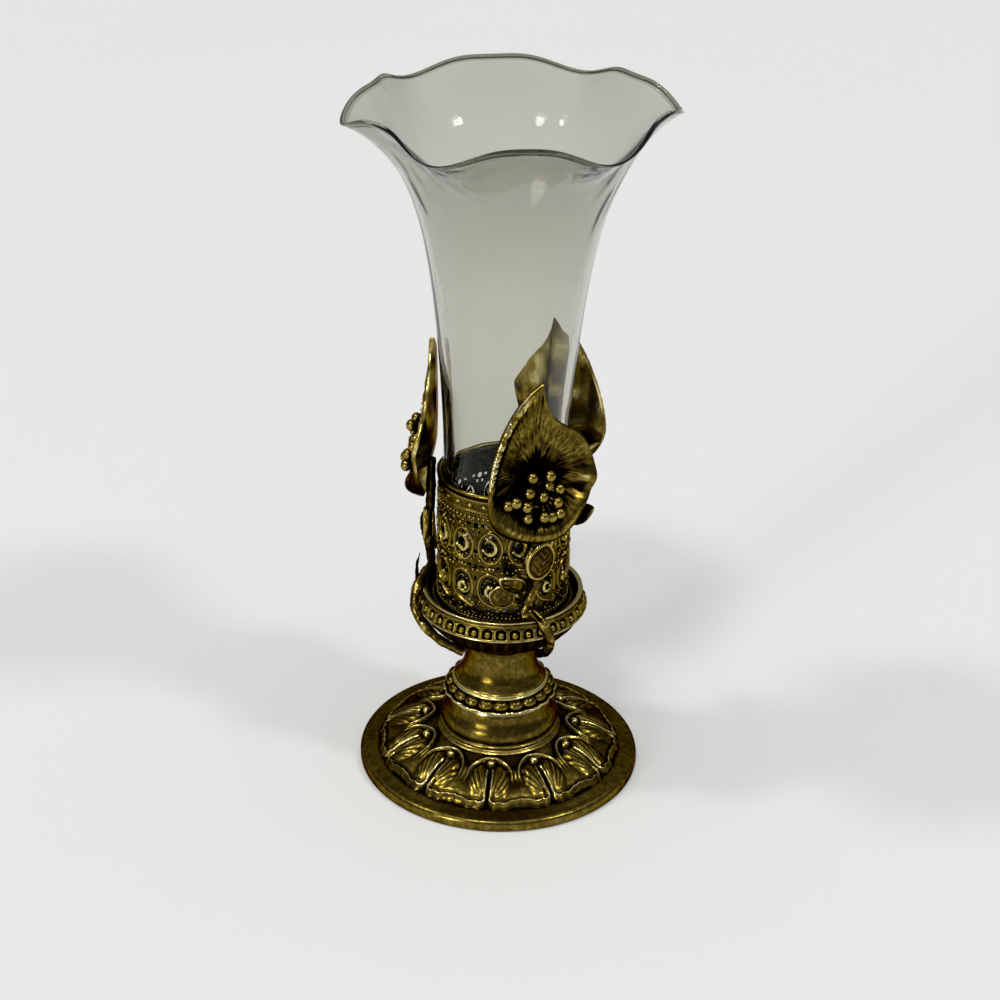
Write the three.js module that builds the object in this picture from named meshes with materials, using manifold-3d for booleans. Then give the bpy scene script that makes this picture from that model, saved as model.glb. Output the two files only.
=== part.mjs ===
// A bud vase: a crimped glass trumpet that stands loose in a gilt filigree holder.
// Millimetres, +Z up. The origin is the centre of the underside of the foot.
// Azimuth 0 faces -Y and grows towards +X.
import * as THREE from 'three';
import { mergeVertices } from 'three/addons/utils/BufferGeometryUtils.js';
import Module from 'manifold-3d';

const wasm = await Module();
wasm.setup();

// Fits
const SOLDER_GAP = 0.3;
const BOLT_CLEARANCE = 0.4;
const GLASS_CLEARANCE = 0.4;

// Facets round the turned pieces
const STEM_FACETS = 24;
const CUP_FACETS = 28;
const GLASS_FACETS = 36;
const SMALL_FACETS = 16;
const CALYX_FACETS = 8;
const TWIG_SIDES = 5;
const FINE_SIDES = 4;
const FILAMENT_SIDES = 3;

// Foot: a stamped saucer that stands on a narrow ring at its edge
const FOOT_RADIUS = 41.8;
const FOOT_HEIGHT = 11.6;
const FOOT_EDGE_HEIGHT = 2.8;
const FOOT_WALL = 1.8;
const FLANGE_WIDTH = 4.6;
const FLANGE_RISE = 0.8;
const STANDING_RING_WIDTH = 3;
const SEAT_MARGIN = 0.8;
const LEAF_COUNT = 11;
const LEAF_RELIEF = 1.4;
const LEAF_ROLL = 1.2;
const LEAF_AZIMUTH = -5;
const LEAF_FACETS = 6;

// Stem stack: hub ring, bead ring and spool
const HUB_RADIUS = 17.6;
const HUB_TOP_RADIUS = 14.8;
const HUB_HEIGHT = 11.4;
const HUB_FOOT_TUCK = 0.5;
const HUB_SHOULDER_TUCK = 1.6;
const BEAD_COUNT = 20;
const BEAD_SWELL = 0.55;
const BEAD_PART = 1.4;
const BEAD_RING_RADIUS = 17;
const BEAD_RING_TOP_RADIUS = 13.9;
const BEAD_RING_HEIGHT = 4.2;
const BEAD_AZIMUTH = 1.5;
const SPOOL_FOOT_RADIUS = 13.8;
const SPOOL_NECK_RADIUS = 10.3;
const SPOOL_TOP_RADIUS = 11.2;
const SPOOL_HEIGHT = 14.2;

// Dish
const DISH_BELLY_PROUD = 1.4;
const DISH_LIP_RADIUS = 11.8;
const DISH_HEIGHT = 16.7;
const DISH_BELLY_HEIGHT = 11.6;
const DISH_BULGE = 0.5;
const DISH_RIM_WIDTH = 1.6;
const DISH_WELL_CLEARANCE = 0.7;
const DISH_WELL_DEPTH = 3.3;
const GADROON_COUNT = 38;
const GADROON_RELIEF = 1.1;
const FLUTE_RELIEF = 0.6;

// Cup
const CUP_INNER_RADIUS = 18;
const CUP_WALL = 1.1;
const CUP_FLOOR_WALL = 1.2;
const FILIGREE_HEIGHT = 37.3;
const FRIEZE_HEIGHT = 3;
const RIM_BAND_HEIGHT = 2.4;
const RIM_BAND_PROUD = 0.35;
const BASE_WIRE_DIAMETER = 1.5;
const BAND_ROUND = 0.4;
const MEDALLION_COUNT = 14;
const MEDALLION_ROW_PITCH = 13;
const MEDALLION_AZIMUTH = -11;
const CRESCENT_RADIUS = 2.9;
const VOLUTE_RADIUS = 1.55;
const GAP_WIDTH = 3;
const GAP_HEIGHT = 4;
const CUTTER_REACH = 2;

// Tie bolt, washer and nut
const BOLT_RADIUS = 2.4;
const BOLT_HEAD_RADIUS = 4.6;
const BOLT_HEAD_HEIGHT = 2.2;
const BOLT_SLOT_WIDTH = 1.2;
const BOLT_SLOT_DEPTH = 1;
const BOLT_TAIL = 1.4;
const WASHER_RADIUS = 8;
const WASHER_WALL = 1.2;
const NUT_ACROSS_FLATS = 8;
const NUT_HEIGHT = 3.8;
const NUT_CLEARANCE = 0.3;

// Glass insert
const GLASS_HEIGHT = 147;
const GLASS_STRAIGHT = 44;
const GLASS_RIM_RADIUS = 45.1;
const GLASS_WALL = 2.4;
const GLASS_RIM_WALL = 1.3;
const GLASS_FLOOR_WALL = 4;
const GLASS_PUNT_HEIGHT = 4;
const GLASS_PUNT_RADIUS = 12;
const GLASS_HEEL_RADIUS = 1.6;
const SWELL_SHARE = 0.4;
const SWELL_POWER = 1.6;
const LIP_POWER = 6.5;
const RUFFLE_HEIGHT = 28;
const RUFFLE_REACH = 2.5;
const RUFFLE_DROP = 4.6;
const RIM_OVAL = 2.7;
const RIM_OVAL_AZIMUTH = -9;
const SPOUT_AZIMUTHS = [-23, 31, 103, 157.5, 218.5, 283];

// Flower sprays: azimuth of the flower, how far it is bent up, the length of its tip and how far that leans,
// how far its twig runs round the dish, and where its pointed leaf sits beside it and below the cup's top
const LONG_TIP = 27.5;
const SHORT_TIP = 24.5;
const LOW_LIFT = -1.2;
const MIDDLE_LIFT = 1.2;
const HIGH_LIFT = 4.6;
const LOW_LEAF_DROP = 20.5;
const HIGH_LEAF_DROP = 12;
const TIP_LEAN = 2;
const lowLeaf = { leafAzimuth: -16, leafDrop: LOW_LEAF_DROP };
const highLeaf = { leafAzimuth: -38, leafDrop: HIGH_LEAF_DROP };
const SPRAYS = [
  { azimuth: 24, lift: LOW_LIFT, tip: LONG_TIP, lean: 0, sweep: 20, ...lowLeaf },
  { azimuth: 142, lift: HIGH_LIFT, tip: SHORT_TIP, lean: -TIP_LEAN, sweep: 28, ...highLeaf },
  { azimuth: 263, lift: MIDDLE_LIFT, tip: LONG_TIP, lean: 0, sweep: 54, ...lowLeaf },
];
const THROAT_ABOVE_CUP = 8.5;
const PETAL_WIDTH = 32;
const PETAL_LIP = 19;
const PETAL_WALL = 1.2;
const TIP_DEPTH = 1.2;
const SIDE_DEPTH = 4.8;
const LIP_DEPTH = 6.2;
const LIP_SWELL = 2;
const LIP_TUCK = 2.6;
const CALYX_LENGTH = 8;
const STAMEN_COUNT = 12;
const STAMEN_REACH = 5;
const STAMEN_SPREAD = 2.25;
const STAMEN_DROP = 4;
const STAMEN_DROOP = 2.5;
const ANTHER_RADIUS = 1.5;
const FILAMENT_RADIUS = 0.45;
const BOSS_RADIUS = 3.2;
const BOSS_HEIGHT = 2.4;
const TWIG_RADIUS = 1.2;
const THORN_LENGTH = 6;
const TWIG_PLAY = 0.2;
const TWIG_RIM_RISE = 0.5;
const LEAF_WALL = 0.9;
const BUD_LEAF = { width: 8.6, height: 12, crown: 1.6, point: 0.35, turn: -14, stand: 0 };
const BUD_LEAF_AZIMUTH = 4;
const BUD_LEAF_DROP = 13;
const POINTED_LEAF = { width: 5.5, height: 10, crown: 0.9, point: 0.9, turn: 40, stand: 5.6 };
const ROUND_LEAF = { width: 7.4, height: 7.4, crown: 1.2, point: 0.15, turn: 0, stand: 0 };
const ROUND_LEAF_AZIMUTH = -24;
const ROUND_LEAF_DROP = 27;
const LEAF_POINTS = 10;

// Heights of the stack, bottom to top
const BEAD_BOTTOM = FOOT_HEIGHT + HUB_HEIGHT;
const SPOOL_BOTTOM = BEAD_BOTTOM + BEAD_RING_HEIGHT;
const DISH_BOTTOM = SPOOL_BOTTOM + SPOOL_HEIGHT;
const DISH_TOP = DISH_BOTTOM + DISH_HEIGHT;
const CUP_BOTTOM = DISH_TOP - DISH_WELL_DEPTH;
const WALL_BOTTOM = CUP_BOTTOM + CUP_FLOOR_WALL;
const BAND_BOTTOM = WALL_BOTTOM + FILIGREE_HEIGHT;
const CUP_TOP = BAND_BOTTOM + RIM_BAND_HEIGHT;
const CUP_RADIUS = CUP_INNER_RADIUS + CUP_WALL;
const BASE_WIRE_INNER = CUP_RADIUS + SOLDER_GAP;
const BASE_WIRE_OUTER = BASE_WIRE_INNER + BASE_WIRE_DIAMETER;
const WELL_RADIUS = BASE_WIRE_OUTER + DISH_WELL_CLEARANCE;
const DISH_RIM_RADIUS = WELL_RADIUS + DISH_RIM_WIDTH;
const DISH_RADIUS = DISH_RIM_RADIUS + DISH_BELLY_PROUD;
const BORE_RADIUS = BOLT_RADIUS + BOLT_CLEARANCE;
const FLOWER_BACK = CUP_RADIUS + RIM_BAND_PROUD + SOLDER_GAP;

const gilt = new THREE.MeshStandardMaterial({ color: 0x9a7a2c, metalness: 0.9, roughness: 0.35 });
const darkGilt = new THREE.MeshStandardMaterial({ color: 0x6f5520, metalness: 0.85, roughness: 0.45 });
const steel = new THREE.MeshStandardMaterial({ color: 0x8d8a80, metalness: 0.9, roughness: 0.4 });
const clearGlass = new THREE.MeshStandardMaterial({
  color: 0xdde2d6,
  metalness: 0,
  roughness: 0.05,
  transparent: true,
  opacity: 0.35,
});

const radians = THREE.MathUtils.degToRad;
const smooth = THREE.MathUtils.smoothstep;

// A point at a radius, an azimuth in degrees and a height
function around(radius, azimuth, z) {
  const angle = radians(azimuth);
  return new THREE.Vector3(radius * Math.sin(angle), -radius * Math.cos(angle), z);
}

// Welds a geometry's seams, drops collapsed triangles and turns its faces outwards
function closed(geometry) {
  geometry.deleteAttribute('normal');
  geometry.deleteAttribute('uv');
  const welded = mergeVertices(geometry, 1e-4);
  const source = welded.index.array;
  const position = welded.attributes.position;
  const corners = [0, 1, 2].map(() => new THREE.Vector3());
  const index = [];
  let volume = 0;
  for (let i = 0; i < source.length; i += 3) {
    const [a, b, c] = source.slice(i, i + 3);
    if (a === b || b === c || c === a) continue;
    corners[0].fromBufferAttribute(position, a);
    corners[1].fromBufferAttribute(position, b);
    corners[2].fromBufferAttribute(position, c);
    volume += corners[0].dot(corners[1].cross(corners[2]));
    index.push(a, b, c);
  }
  if (volume < 0) index.reverse();
  welded.setIndex(index);
  return welded;
}

function toSolid(geometry) {
  const welded = closed(geometry);
  const vertProperties = Float32Array.from(welded.attributes.position.array);
  const triVerts = Uint32Array.from(welded.index.array);
  return new wasm.Manifold(new wasm.Mesh({ numProp: 3, vertProperties, triVerts }));
}

function toGeometry(solid) {
  const mesh = solid.getMesh();
  const geometry = new THREE.BufferGeometry();
  geometry.setAttribute('position', new THREE.BufferAttribute(mesh.vertProperties, 3));
  geometry.setIndex(new THREE.BufferAttribute(mesh.triVerts, 1));
  return geometry;
}

function joined(geometries) {
  return toGeometry(geometries.map(toSolid).reduce((whole, piece) => whole.add(piece)));
}

// Revolves an outline of [radius, z] points round Z from a start azimuth.
// The emboss function moves each ring's points by azimuth.
function turned(outline, segments, emboss, start = 0) {
  const points = outline.map(([radius, z]) => new THREE.Vector2(radius, z));
  const geometry = new THREE.LatheGeometry(points, segments, radians(start)).rotateX(Math.PI / 2);
  if (emboss) {
    const position = geometry.attributes.position;
    for (let i = 0; i < position.count; i++) {
      const [x, y, z] = [position.getX(i), position.getY(i), position.getZ(i)];
      const radius = Math.hypot(x, y);
      const angle = Math.atan2(x, -y);
      const moved = emboss(radius, THREE.MathUtils.radToDeg(angle), z);
      position.setXYZ(i, moved.radius * Math.sin(angle), -moved.radius * Math.cos(angle), moved.z);
    }
  }
  return closed(geometry);
}

// A turned piece with a bore: the outline runs from the bore's bottom edge, outside, to its top edge
function bored(outline, segments, emboss, start) {
  const bottom = [BORE_RADIUS, outline[0][1]];
  const top = [BORE_RADIUS, outline[outline.length - 1][1]];
  return turned([bottom, ...outline, top, bottom], segments, emboss, start);
}

function curvePoints(points, divisions) {
  const curve = new THREE.SplineCurve(points.map(([x, y]) => new THREE.Vector2(x, y)));
  return curve.getPoints(divisions).map((point) => [point.x, point.y]);
}

// How far an azimuth lies from the middle of its repeat, from -1 to 1
function acrossRepeat(azimuth, start, count) {
  const pitch = 360 / count;
  const turns = (azimuth - start) / pitch;
  return 2 * (turns - Math.round(turns));
}

// Foot. A groove parts each leaf from the next, with a swelling lobe on either side of it. Further out the
// leaf lies flat, and its end rolls down to the flange.
function footGeometry() {
  const seat = HUB_RADIUS + SEAT_MARGIN;
  const leafEnd = FOOT_RADIUS - FLANGE_WIDTH;
  const flangeTop = FOOT_EDGE_HEIGHT + FLANGE_RISE;
  const innerEdge = FOOT_RADIUS - STANDING_RING_WIDTH;
  const slope = (radius) => {
    const along = (radius - seat) / (leafEnd - seat);
    return THREE.MathUtils.lerp(FOOT_HEIGHT, flangeTop, along ** 1.15);
  };
  const top = [0, 0.1, 0.26, 0.46, 0.72, 1 - LEAF_ROLL / (leafEnd - seat), 1].map((share) => {
    const radius = THREE.MathUtils.lerp(seat, leafEnd, share);
    return [radius, slope(radius)];
  });
  const edge = [
    [FOOT_RADIUS - FOOT_EDGE_HEIGHT / 3, FOOT_EDGE_HEIGHT],
    [FOOT_RADIUS, FOOT_EDGE_HEIGHT * 0.6],
    [FOOT_RADIUS, 0],
    [innerEdge, 0],
    [innerEdge, flangeTop - FOOT_WALL],
  ];
  const underside = [0.9, 0].map((share) => {
    const radius = THREE.MathUtils.lerp(seat, leafEnd, share);
    return [radius, slope(radius) - FOOT_WALL];
  });
  const ceiling = FOOT_HEIGHT - FOOT_WALL;
  const outline = [[BORE_RADIUS, ceiling], [BORE_RADIUS, FOOT_HEIGHT], ...top, ...edge, ...underside];
  outline.push([BORE_RADIUS, ceiling]);
  const emboss = (radius, azimuth, z) => {
    const along = (radius - seat) / (leafEnd - seat);
    const onTop = along > 0.01 && along < 0.99 && z > slope(radius) - FOOT_WALL / 2;
    if (!onTop) return { radius, z };
    const across = Math.abs(acrossRepeat(azimuth, LEAF_AZIMUTH, LEAF_COUNT));
    const lobe = Math.sin(Math.PI * Math.min(across * 1.2, 1));
    const plate = 0.8 * smooth(across, 0, 0.3);
    const form = THREE.MathUtils.lerp(lobe, plate, smooth(along, 0.5, 0.85));
    return { radius, z: z + LEAF_RELIEF * form * smooth(along, 0.05, 0.4) };
  };
  return turned(outline, LEAF_COUNT * LEAF_FACETS, emboss, LEAF_AZIMUTH);
}

function hubGeometry() {
  const side = curvePoints(
    [
      [HUB_RADIUS - HUB_FOOT_TUCK, FOOT_HEIGHT],
      [HUB_RADIUS, FOOT_HEIGHT + HUB_HEIGHT * 0.26],
      [HUB_RADIUS - HUB_SHOULDER_TUCK, FOOT_HEIGHT + HUB_HEIGHT * 0.6],
      [HUB_TOP_RADIUS, BEAD_BOTTOM],
    ],
    5,
  );
  return bored(side, STEM_FACETS);
}

// Bead ring: a conical collar between two flanges, its side swelling into round beads
function beadRingGeometry() {
  const rows = [
    [0, -0.6],
    [0.08, 0],
    [0.3, 0.6],
    [0.54, 1],
    [0.8, 0.4],
    [1, -0.2],
  ];
  const cone = (share) => THREE.MathUtils.lerp(BEAD_RING_RADIUS, BEAD_RING_TOP_RADIUS, share);
  const side = rows.map(([share, swell]) => {
    return [cone(share) + swell * BEAD_SWELL, BEAD_BOTTOM + share * BEAD_RING_HEIGHT];
  });
  const emboss = (radius, azimuth, z) => {
    const across = Math.abs(acrossRepeat(azimuth, BEAD_AZIMUTH, BEAD_COUNT));
    const proud = radius - cone((z - BEAD_BOTTOM) / BEAD_RING_HEIGHT);
    const parted = proud > 0.1 * BEAD_SWELL ? BEAD_PART * across ** 2 : 0;
    return { radius: radius - parted, z };
  };
  return bored(side, BEAD_COUNT * 2, emboss, BEAD_AZIMUTH);
}

function spoolGeometry() {
  const bell = (share) => THREE.MathUtils.lerp(SPOOL_NECK_RADIUS, SPOOL_FOOT_RADIUS, share);
  const side = curvePoints(
    [
      [SPOOL_FOOT_RADIUS, SPOOL_BOTTOM],
      [bell(0.62), SPOOL_BOTTOM + SPOOL_HEIGHT * 0.17],
      [bell(0.18), SPOOL_BOTTOM + SPOOL_HEIGHT * 0.4],
      [SPOOL_NECK_RADIUS, SPOOL_BOTTOM + SPOOL_HEIGHT * 0.78],
      [SPOOL_TOP_RADIUS, DISH_BOTTOM],
    ],
    7,
  );
  return bored(side, STEM_FACETS);
}

// The dish's underside, a round bowl from its lip to its widest ring, as [radius, z]
function dishUnderside(share) {
  const turn = (share * Math.PI) / 2;
  const out = THREE.MathUtils.lerp(share, Math.sin(turn), DISH_BULGE);
  const rise = THREE.MathUtils.lerp(share, 1 - Math.cos(turn), DISH_BULGE);
  const radius = THREE.MathUtils.lerp(DISH_LIP_RADIUS, DISH_RADIUS, out);
  return [radius, DISH_BOTTOM + DISH_BELLY_HEIGHT * rise];
}

// Dish: a fluted bowl, a band of beads above its widest ring, a plain rim and a sunk well that the cup stands in
function dishGeometry() {
  const under = [0, 0.12, 0.4, 0.7, 1].map(dishUnderside);
  const belly = DISH_BOTTOM + DISH_BELLY_HEIGHT;
  const shoulder = DISH_TOP - 0.32 * (DISH_HEIGHT - DISH_BELLY_HEIGHT);
  const beadLevel = (belly + shoulder) / 2;
  const side = [
    ...under,
    [DISH_RADIUS, beadLevel],
    [DISH_RIM_RADIUS, shoulder],
    [DISH_RIM_RADIUS, (shoulder + DISH_TOP) / 2],
    [DISH_RIM_RADIUS - DISH_RIM_WIDTH / 3, DISH_TOP],
    [WELL_RADIUS, DISH_TOP],
    [WELL_RADIUS, CUP_BOTTOM],
  ];
  const reliefs = [0, 0, FLUTE_RELIEF, FLUTE_RELIEF, FLUTE_RELIEF, GADROON_RELIEF];
  const emboss = (radius, azimuth, z) => {
    const ring = side.findIndex((point) => Math.hypot(point[0] - radius, point[1] - z) < 0.01);
    const valley = Math.abs(acrossRepeat(azimuth, 0, GADROON_COUNT));
    return { radius: radius - (reliefs[ring] || 0) * valley, z };
  };
  return bored(side, GADROON_COUNT * 2, emboss);
}

function cupFloorGeometry() {
  const side = [
    [CUP_RADIUS, CUP_BOTTOM],
    [CUP_RADIUS, WALL_BOTTOM],
  ];
  return bored(side, CUP_FACETS);
}

function bandGeometry(inner, outer, bottom, top) {
  const outline = [
    [inner, bottom],
    [outer - BAND_ROUND, bottom],
    [outer, bottom + BAND_ROUND],
    [outer, top - BAND_ROUND],
    [outer - BAND_ROUND, top],
    [inner, top],
    [inner, bottom],
  ];
  return turned(outline, CUP_FACETS);
}

// A flat shape cut radially through the cup wall at an azimuth and a height
function radialCut(shape, azimuth, z) {
  const cut = new THREE.ExtrudeGeometry(shape, {
    depth: CUP_WALL + 2 * CUTTER_REACH,
    bevelEnabled: false,
  });
  cut.translate(0, 0, CUP_INNER_RADIUS - CUTTER_REACH);
  const angle = radians(azimuth);
  const outward = around(1, azimuth, 0);
  const sideways = new THREE.Vector3(Math.cos(angle), Math.sin(angle), 0);
  const frame = new THREE.Matrix4().makeBasis(sideways, new THREE.Vector3(0, 0, 1), outward);
  cut.applyMatrix4(frame.setPosition(0, 0, z));
  return toSolid(cut);
}

function arcPoints(centre, radius, from, to, steps) {
  const points = [];
  for (let i = 0; i <= steps; i++) {
    const angle = radians(THREE.MathUtils.lerp(from, to, i / steps));
    points.push(new THREE.Vector2(Math.cos(angle), Math.sin(angle)).multiplyScalar(radius).add(centre));
  }
  return points;
}

// Filigree wall: two rows of scroll medallions, each with a crescent opening round a volute,
// and a diamond opening in the middle of each four medallions
function filigreeGeometry() {
  const plain = turned(
    [
      [CUP_INNER_RADIUS, WALL_BOTTOM],
      [CUP_RADIUS, WALL_BOTTOM],
      [CUP_RADIUS, BAND_BOTTOM],
      [CUP_INNER_RADIUS, BAND_BOTTOM],
      [CUP_INNER_RADIUS, WALL_BOTTOM],
    ],
    MEDALLION_COUNT * 2,
    null,
    MEDALLION_AZIMUTH,
  );
  const volute = new THREE.Vector2(-0.12, -0.22).multiplyScalar(CRESCENT_RADIUS);
  const crescent = new THREE.Shape([
    ...arcPoints(new THREE.Vector2(), CRESCENT_RADIUS, -60, 215, 5),
    ...arcPoints(volute, VOLUTE_RADIUS, 215, -40, 3),
  ]);
  const diamond = new THREE.Shape([
    new THREE.Vector2(0, GAP_HEIGHT / 2),
    new THREE.Vector2(-GAP_WIDTH / 2, 0),
    new THREE.Vector2(0, -GAP_HEIGHT / 2),
    new THREE.Vector2(GAP_WIDTH / 2, 0),
  ]);
  const middle = (WALL_BOTTOM + BAND_BOTTOM - FRIEZE_HEIGHT) / 2;
  const pitch = 360 / MEDALLION_COUNT;
  let wall = toSolid(plain);
  for (let i = 0; i < MEDALLION_COUNT; i++) {
    const azimuth = MEDALLION_AZIMUTH + i * pitch;
    for (const row of [-0.5, 0.5]) {
      wall = wall.subtract(radialCut(crescent, azimuth, middle + row * MEDALLION_ROW_PITCH));
    }
    wall = wall.subtract(radialCut(diamond, azimuth + pitch / 2, middle));
  }
  return toGeometry(wall);
}

// Tie bolt: a slotted pan head on the cup floor, and a shank down through the stack to the nut
function boltGeometry() {
  const headTop = WALL_BOTTOM + BOLT_HEAD_HEIGHT;
  const tail = FOOT_HEIGHT - FOOT_WALL - WASHER_WALL - NUT_HEIGHT - BOLT_TAIL;
  const body = turned(
    [
      [0, tail],
      [BOLT_RADIUS * 0.75, tail],
      [BOLT_RADIUS, tail + BOLT_RADIUS * 0.25],
      [BOLT_RADIUS, WALL_BOTTOM],
      [BOLT_HEAD_RADIUS, WALL_BOTTOM],
      [BOLT_HEAD_RADIUS, headTop - BOLT_HEAD_HEIGHT * 0.4],
      [BOLT_HEAD_RADIUS * 0.7, headTop],
      [0, headTop],
    ],
    SMALL_FACETS,
  );
  const slot = new THREE.BoxGeometry(BOLT_HEAD_RADIUS * 3, BOLT_SLOT_WIDTH, BOLT_SLOT_DEPTH * 2);
  slot.translate(0, 0, headTop);
  return toGeometry(toSolid(body).subtract(toSolid(slot)));
}

function washerGeometry() {
  const top = FOOT_HEIGHT - FOOT_WALL;
  const side = [
    [WASHER_RADIUS, top - WASHER_WALL],
    [WASHER_RADIUS, top],
  ];
  return bored(side, SMALL_FACETS);
}

function nutGeometry() {
  const corner = NUT_ACROSS_FLATS / Math.sqrt(3);
  const hexagon = new THREE.Shape();
  for (let i = 0; i < 6; i++) {
    const angle = radians(60 * i);
    hexagon[i ? 'lineTo' : 'moveTo'](corner * Math.cos(angle), corner * Math.sin(angle));
  }
  hexagon.closePath();
  const bore = new THREE.Path();
  bore.absarc(0, 0, BOLT_RADIUS + NUT_CLEARANCE, 0, 2 * Math.PI, true);
  hexagon.holes.push(bore);
  const options = { depth: NUT_HEIGHT, bevelEnabled: false, curveSegments: 6 };
  const nut = new THREE.ExtrudeGeometry(hexagon, options);
  return closed(nut.translate(0, 0, FOOT_HEIGHT - FOOT_WALL - WASHER_WALL - NUT_HEIGHT));
}

// The crimp of the rim: 1 at a spout, -1 at the crest between two spouts
function crimp(azimuth) {
  const first = SPOUT_AZIMUTHS[0];
  const spouts = [...SPOUT_AZIMUTHS, first + 360];
  const turn = THREE.MathUtils.euclideanModulo(azimuth - first, 360) + first;
  const after = spouts.findIndex((spout, i) => i > 0 && turn <= spout);
  const before = spouts[after - 1];
  return Math.cos((2 * Math.PI * (turn - before)) / (spouts[after] - before));
}

// Glass: straight in the cup, then swelling slowly and turning out to the lip
function glassGeometry() {
  const bottom = WALL_BOTTOM;
  const rim = bottom + GLASS_HEIGHT;
  const bend = bottom + GLASS_STRAIGHT;
  const base = CUP_INNER_RADIUS - GLASS_CLEARANCE;
  const outer = (z) => {
    const t = Math.max((z - bend) / (rim - bend), 0);
    const flare = SWELL_SHARE * t ** SWELL_POWER + (1 - SWELL_SHARE) * t ** LIP_POWER;
    return base + (GLASS_RIM_RADIUS - base) * flare;
  };
  const wall = (z) => THREE.MathUtils.lerp(GLASS_WALL, GLASS_RIM_WALL, smooth(z, bend, rim));
  const levels = [0, 0.32, 0.54, 0.7, 0.81, 0.89, 0.95, 1].map((t) => THREE.MathUtils.lerp(bend, rim, t));
  const outside = levels.map((z) => [outer(z), z]);
  const inside = levels.map((z) => [outer(z) - wall(z), z]).reverse();
  const floor = bottom + GLASS_PUNT_HEIGHT + GLASS_FLOOR_WALL;
  const outline = [
    [0, bottom + GLASS_PUNT_HEIGHT],
    [GLASS_PUNT_RADIUS * 0.6, bottom + GLASS_PUNT_HEIGHT * 0.7],
    [GLASS_PUNT_RADIUS, bottom],
    [base - GLASS_HEEL_RADIUS, bottom],
    [base, bottom + GLASS_HEEL_RADIUS],
    ...outside,
    ...inside,
    [base - GLASS_WALL, floor + 2 * GLASS_HEEL_RADIUS],
    [base - GLASS_WALL - 2 * GLASS_HEEL_RADIUS, floor],
    [0, floor],
  ];
  const emboss = (radius, azimuth, z) => {
    const share = Math.max((z - rim + RUFFLE_HEIGHT) / RUFFLE_HEIGHT, 0) ** 2.5;
    const pull = crimp(azimuth);
    const oval = RIM_OVAL * Math.cos(2 * radians(azimuth - RIM_OVAL_AZIMUTH));
    const dip = RUFFLE_DROP * ((1 + pull) / 2) ** 2;
    return { radius: radius + (RUFFLE_REACH * pull + oval) * share, z: z - dip * share };
  };
  return turned(outline, GLASS_FACETS, emboss);
}

// A petal's front surface: how far it stands out at a share of the way from the throat towards the edge.
// The lower lip swells out and its edge rolls under.
function petalDepth(share, up) {
  const tilt = (TIP_DEPTH - LIP_DEPTH) / 2;
  const bowl = (TIP_DEPTH + LIP_DEPTH) / 2 - SIDE_DEPTH;
  const swell = LIP_SWELL * smooth(share, 0.5, 0.86) - (LIP_SWELL + LIP_TUCK) * smooth(share, 0.86, 1);
  const spoon = (SIDE_DEPTH + tilt * up + bowl * up * up) * share ** 2;
  return FLOWER_BACK + PETAL_WALL + spoon + swell * smooth(-up, 0.3, 0.9);
}

// The flower's edge seen from in front, from the tip round by its right side: an ogee with a shoulder,
// a round lip below and a plain curve back up the left side. The tip may lean to one side.
function petalOutline(tip, lean) {
  const half = PETAL_WIDTH / 2;
  const edge = new THREE.Shape();
  const to = (...shares) => {
    const lengths = shares.map((share, i) => share * (i % 2 ? (share < 0 ? PETAL_LIP : tip) : half));
    edge.bezierCurveTo(...lengths);
  };
  edge.moveTo(0.06 * half, tip);
  to(0.06, 0.8, 0.22, 0.58, 0.63, 0.48);
  to(0.82, 0.42, 0.98, 0.22, 1, 0.03);
  to(1, -0.35, 0.62, -1, 0.1, -1);
  to(-0.55, -1, -1, -0.75, -1, -0.25);
  to(-1, 0.2, -0.62, 0.8, 0.06, 1);
  const points = edge.getPoints(4).slice(0, -1);
  points.forEach((point) => point.setX(point.x + lean * smooth(point.y, 0, tip)));
  return points;
}

// A shell over a flat outline: a middle point, rings out to the edge, and the same again behind.
// The place function takes the flat point, its share of the way out and the side,
// and gives the point in space.
function shell(outline, shares, place) {
  const positions = [];
  const index = [];
  const count = outline.length;
  const sides = [1, 0].map((front) => {
    const middle = positions.length / 3;
    positions.push(...place(new THREE.Vector2(), 0, front).toArray());
    for (const share of shares) {
      for (const point of outline) {
        positions.push(...place(point.clone().multiplyScalar(share), share, front).toArray());
      }
    }
    for (let k = 0; k < count; k++) {
      const next = (k + 1) % count;
      const corners = (ring) => [middle + 1 + ring * count + k, middle + 1 + ring * count + next];
      const faces = [middle, ...corners(0)];
      for (let ring = 1; ring < shares.length; ring++) {
        const [a, b] = corners(ring - 1);
        const [c, d] = corners(ring);
        faces.push(a, c, b, b, c, d);
      }
      if (!front) faces.reverse();
      index.push(...faces);
    }
    return middle + 1 + (shares.length - 1) * count;
  });
  for (let k = 0; k < count; k++) {
    const next = (k + 1) % count;
    const [a, b] = [sides[0] + k, sides[0] + next];
    const [c, d] = [sides[1] + k, sides[1] + next];
    index.push(a, c, b, b, c, d);
  }
  const geometry = new THREE.BufferGeometry();
  geometry.setAttribute('position', new THREE.Float32BufferAttribute(positions, 3));
  geometry.setIndex(index);
  return closed(geometry);
}

// Where the twig meets the flower: the radius of its axis
const twigStart = FLOWER_BACK + TWIG_RADIUS + SOLDER_GAP;

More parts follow.
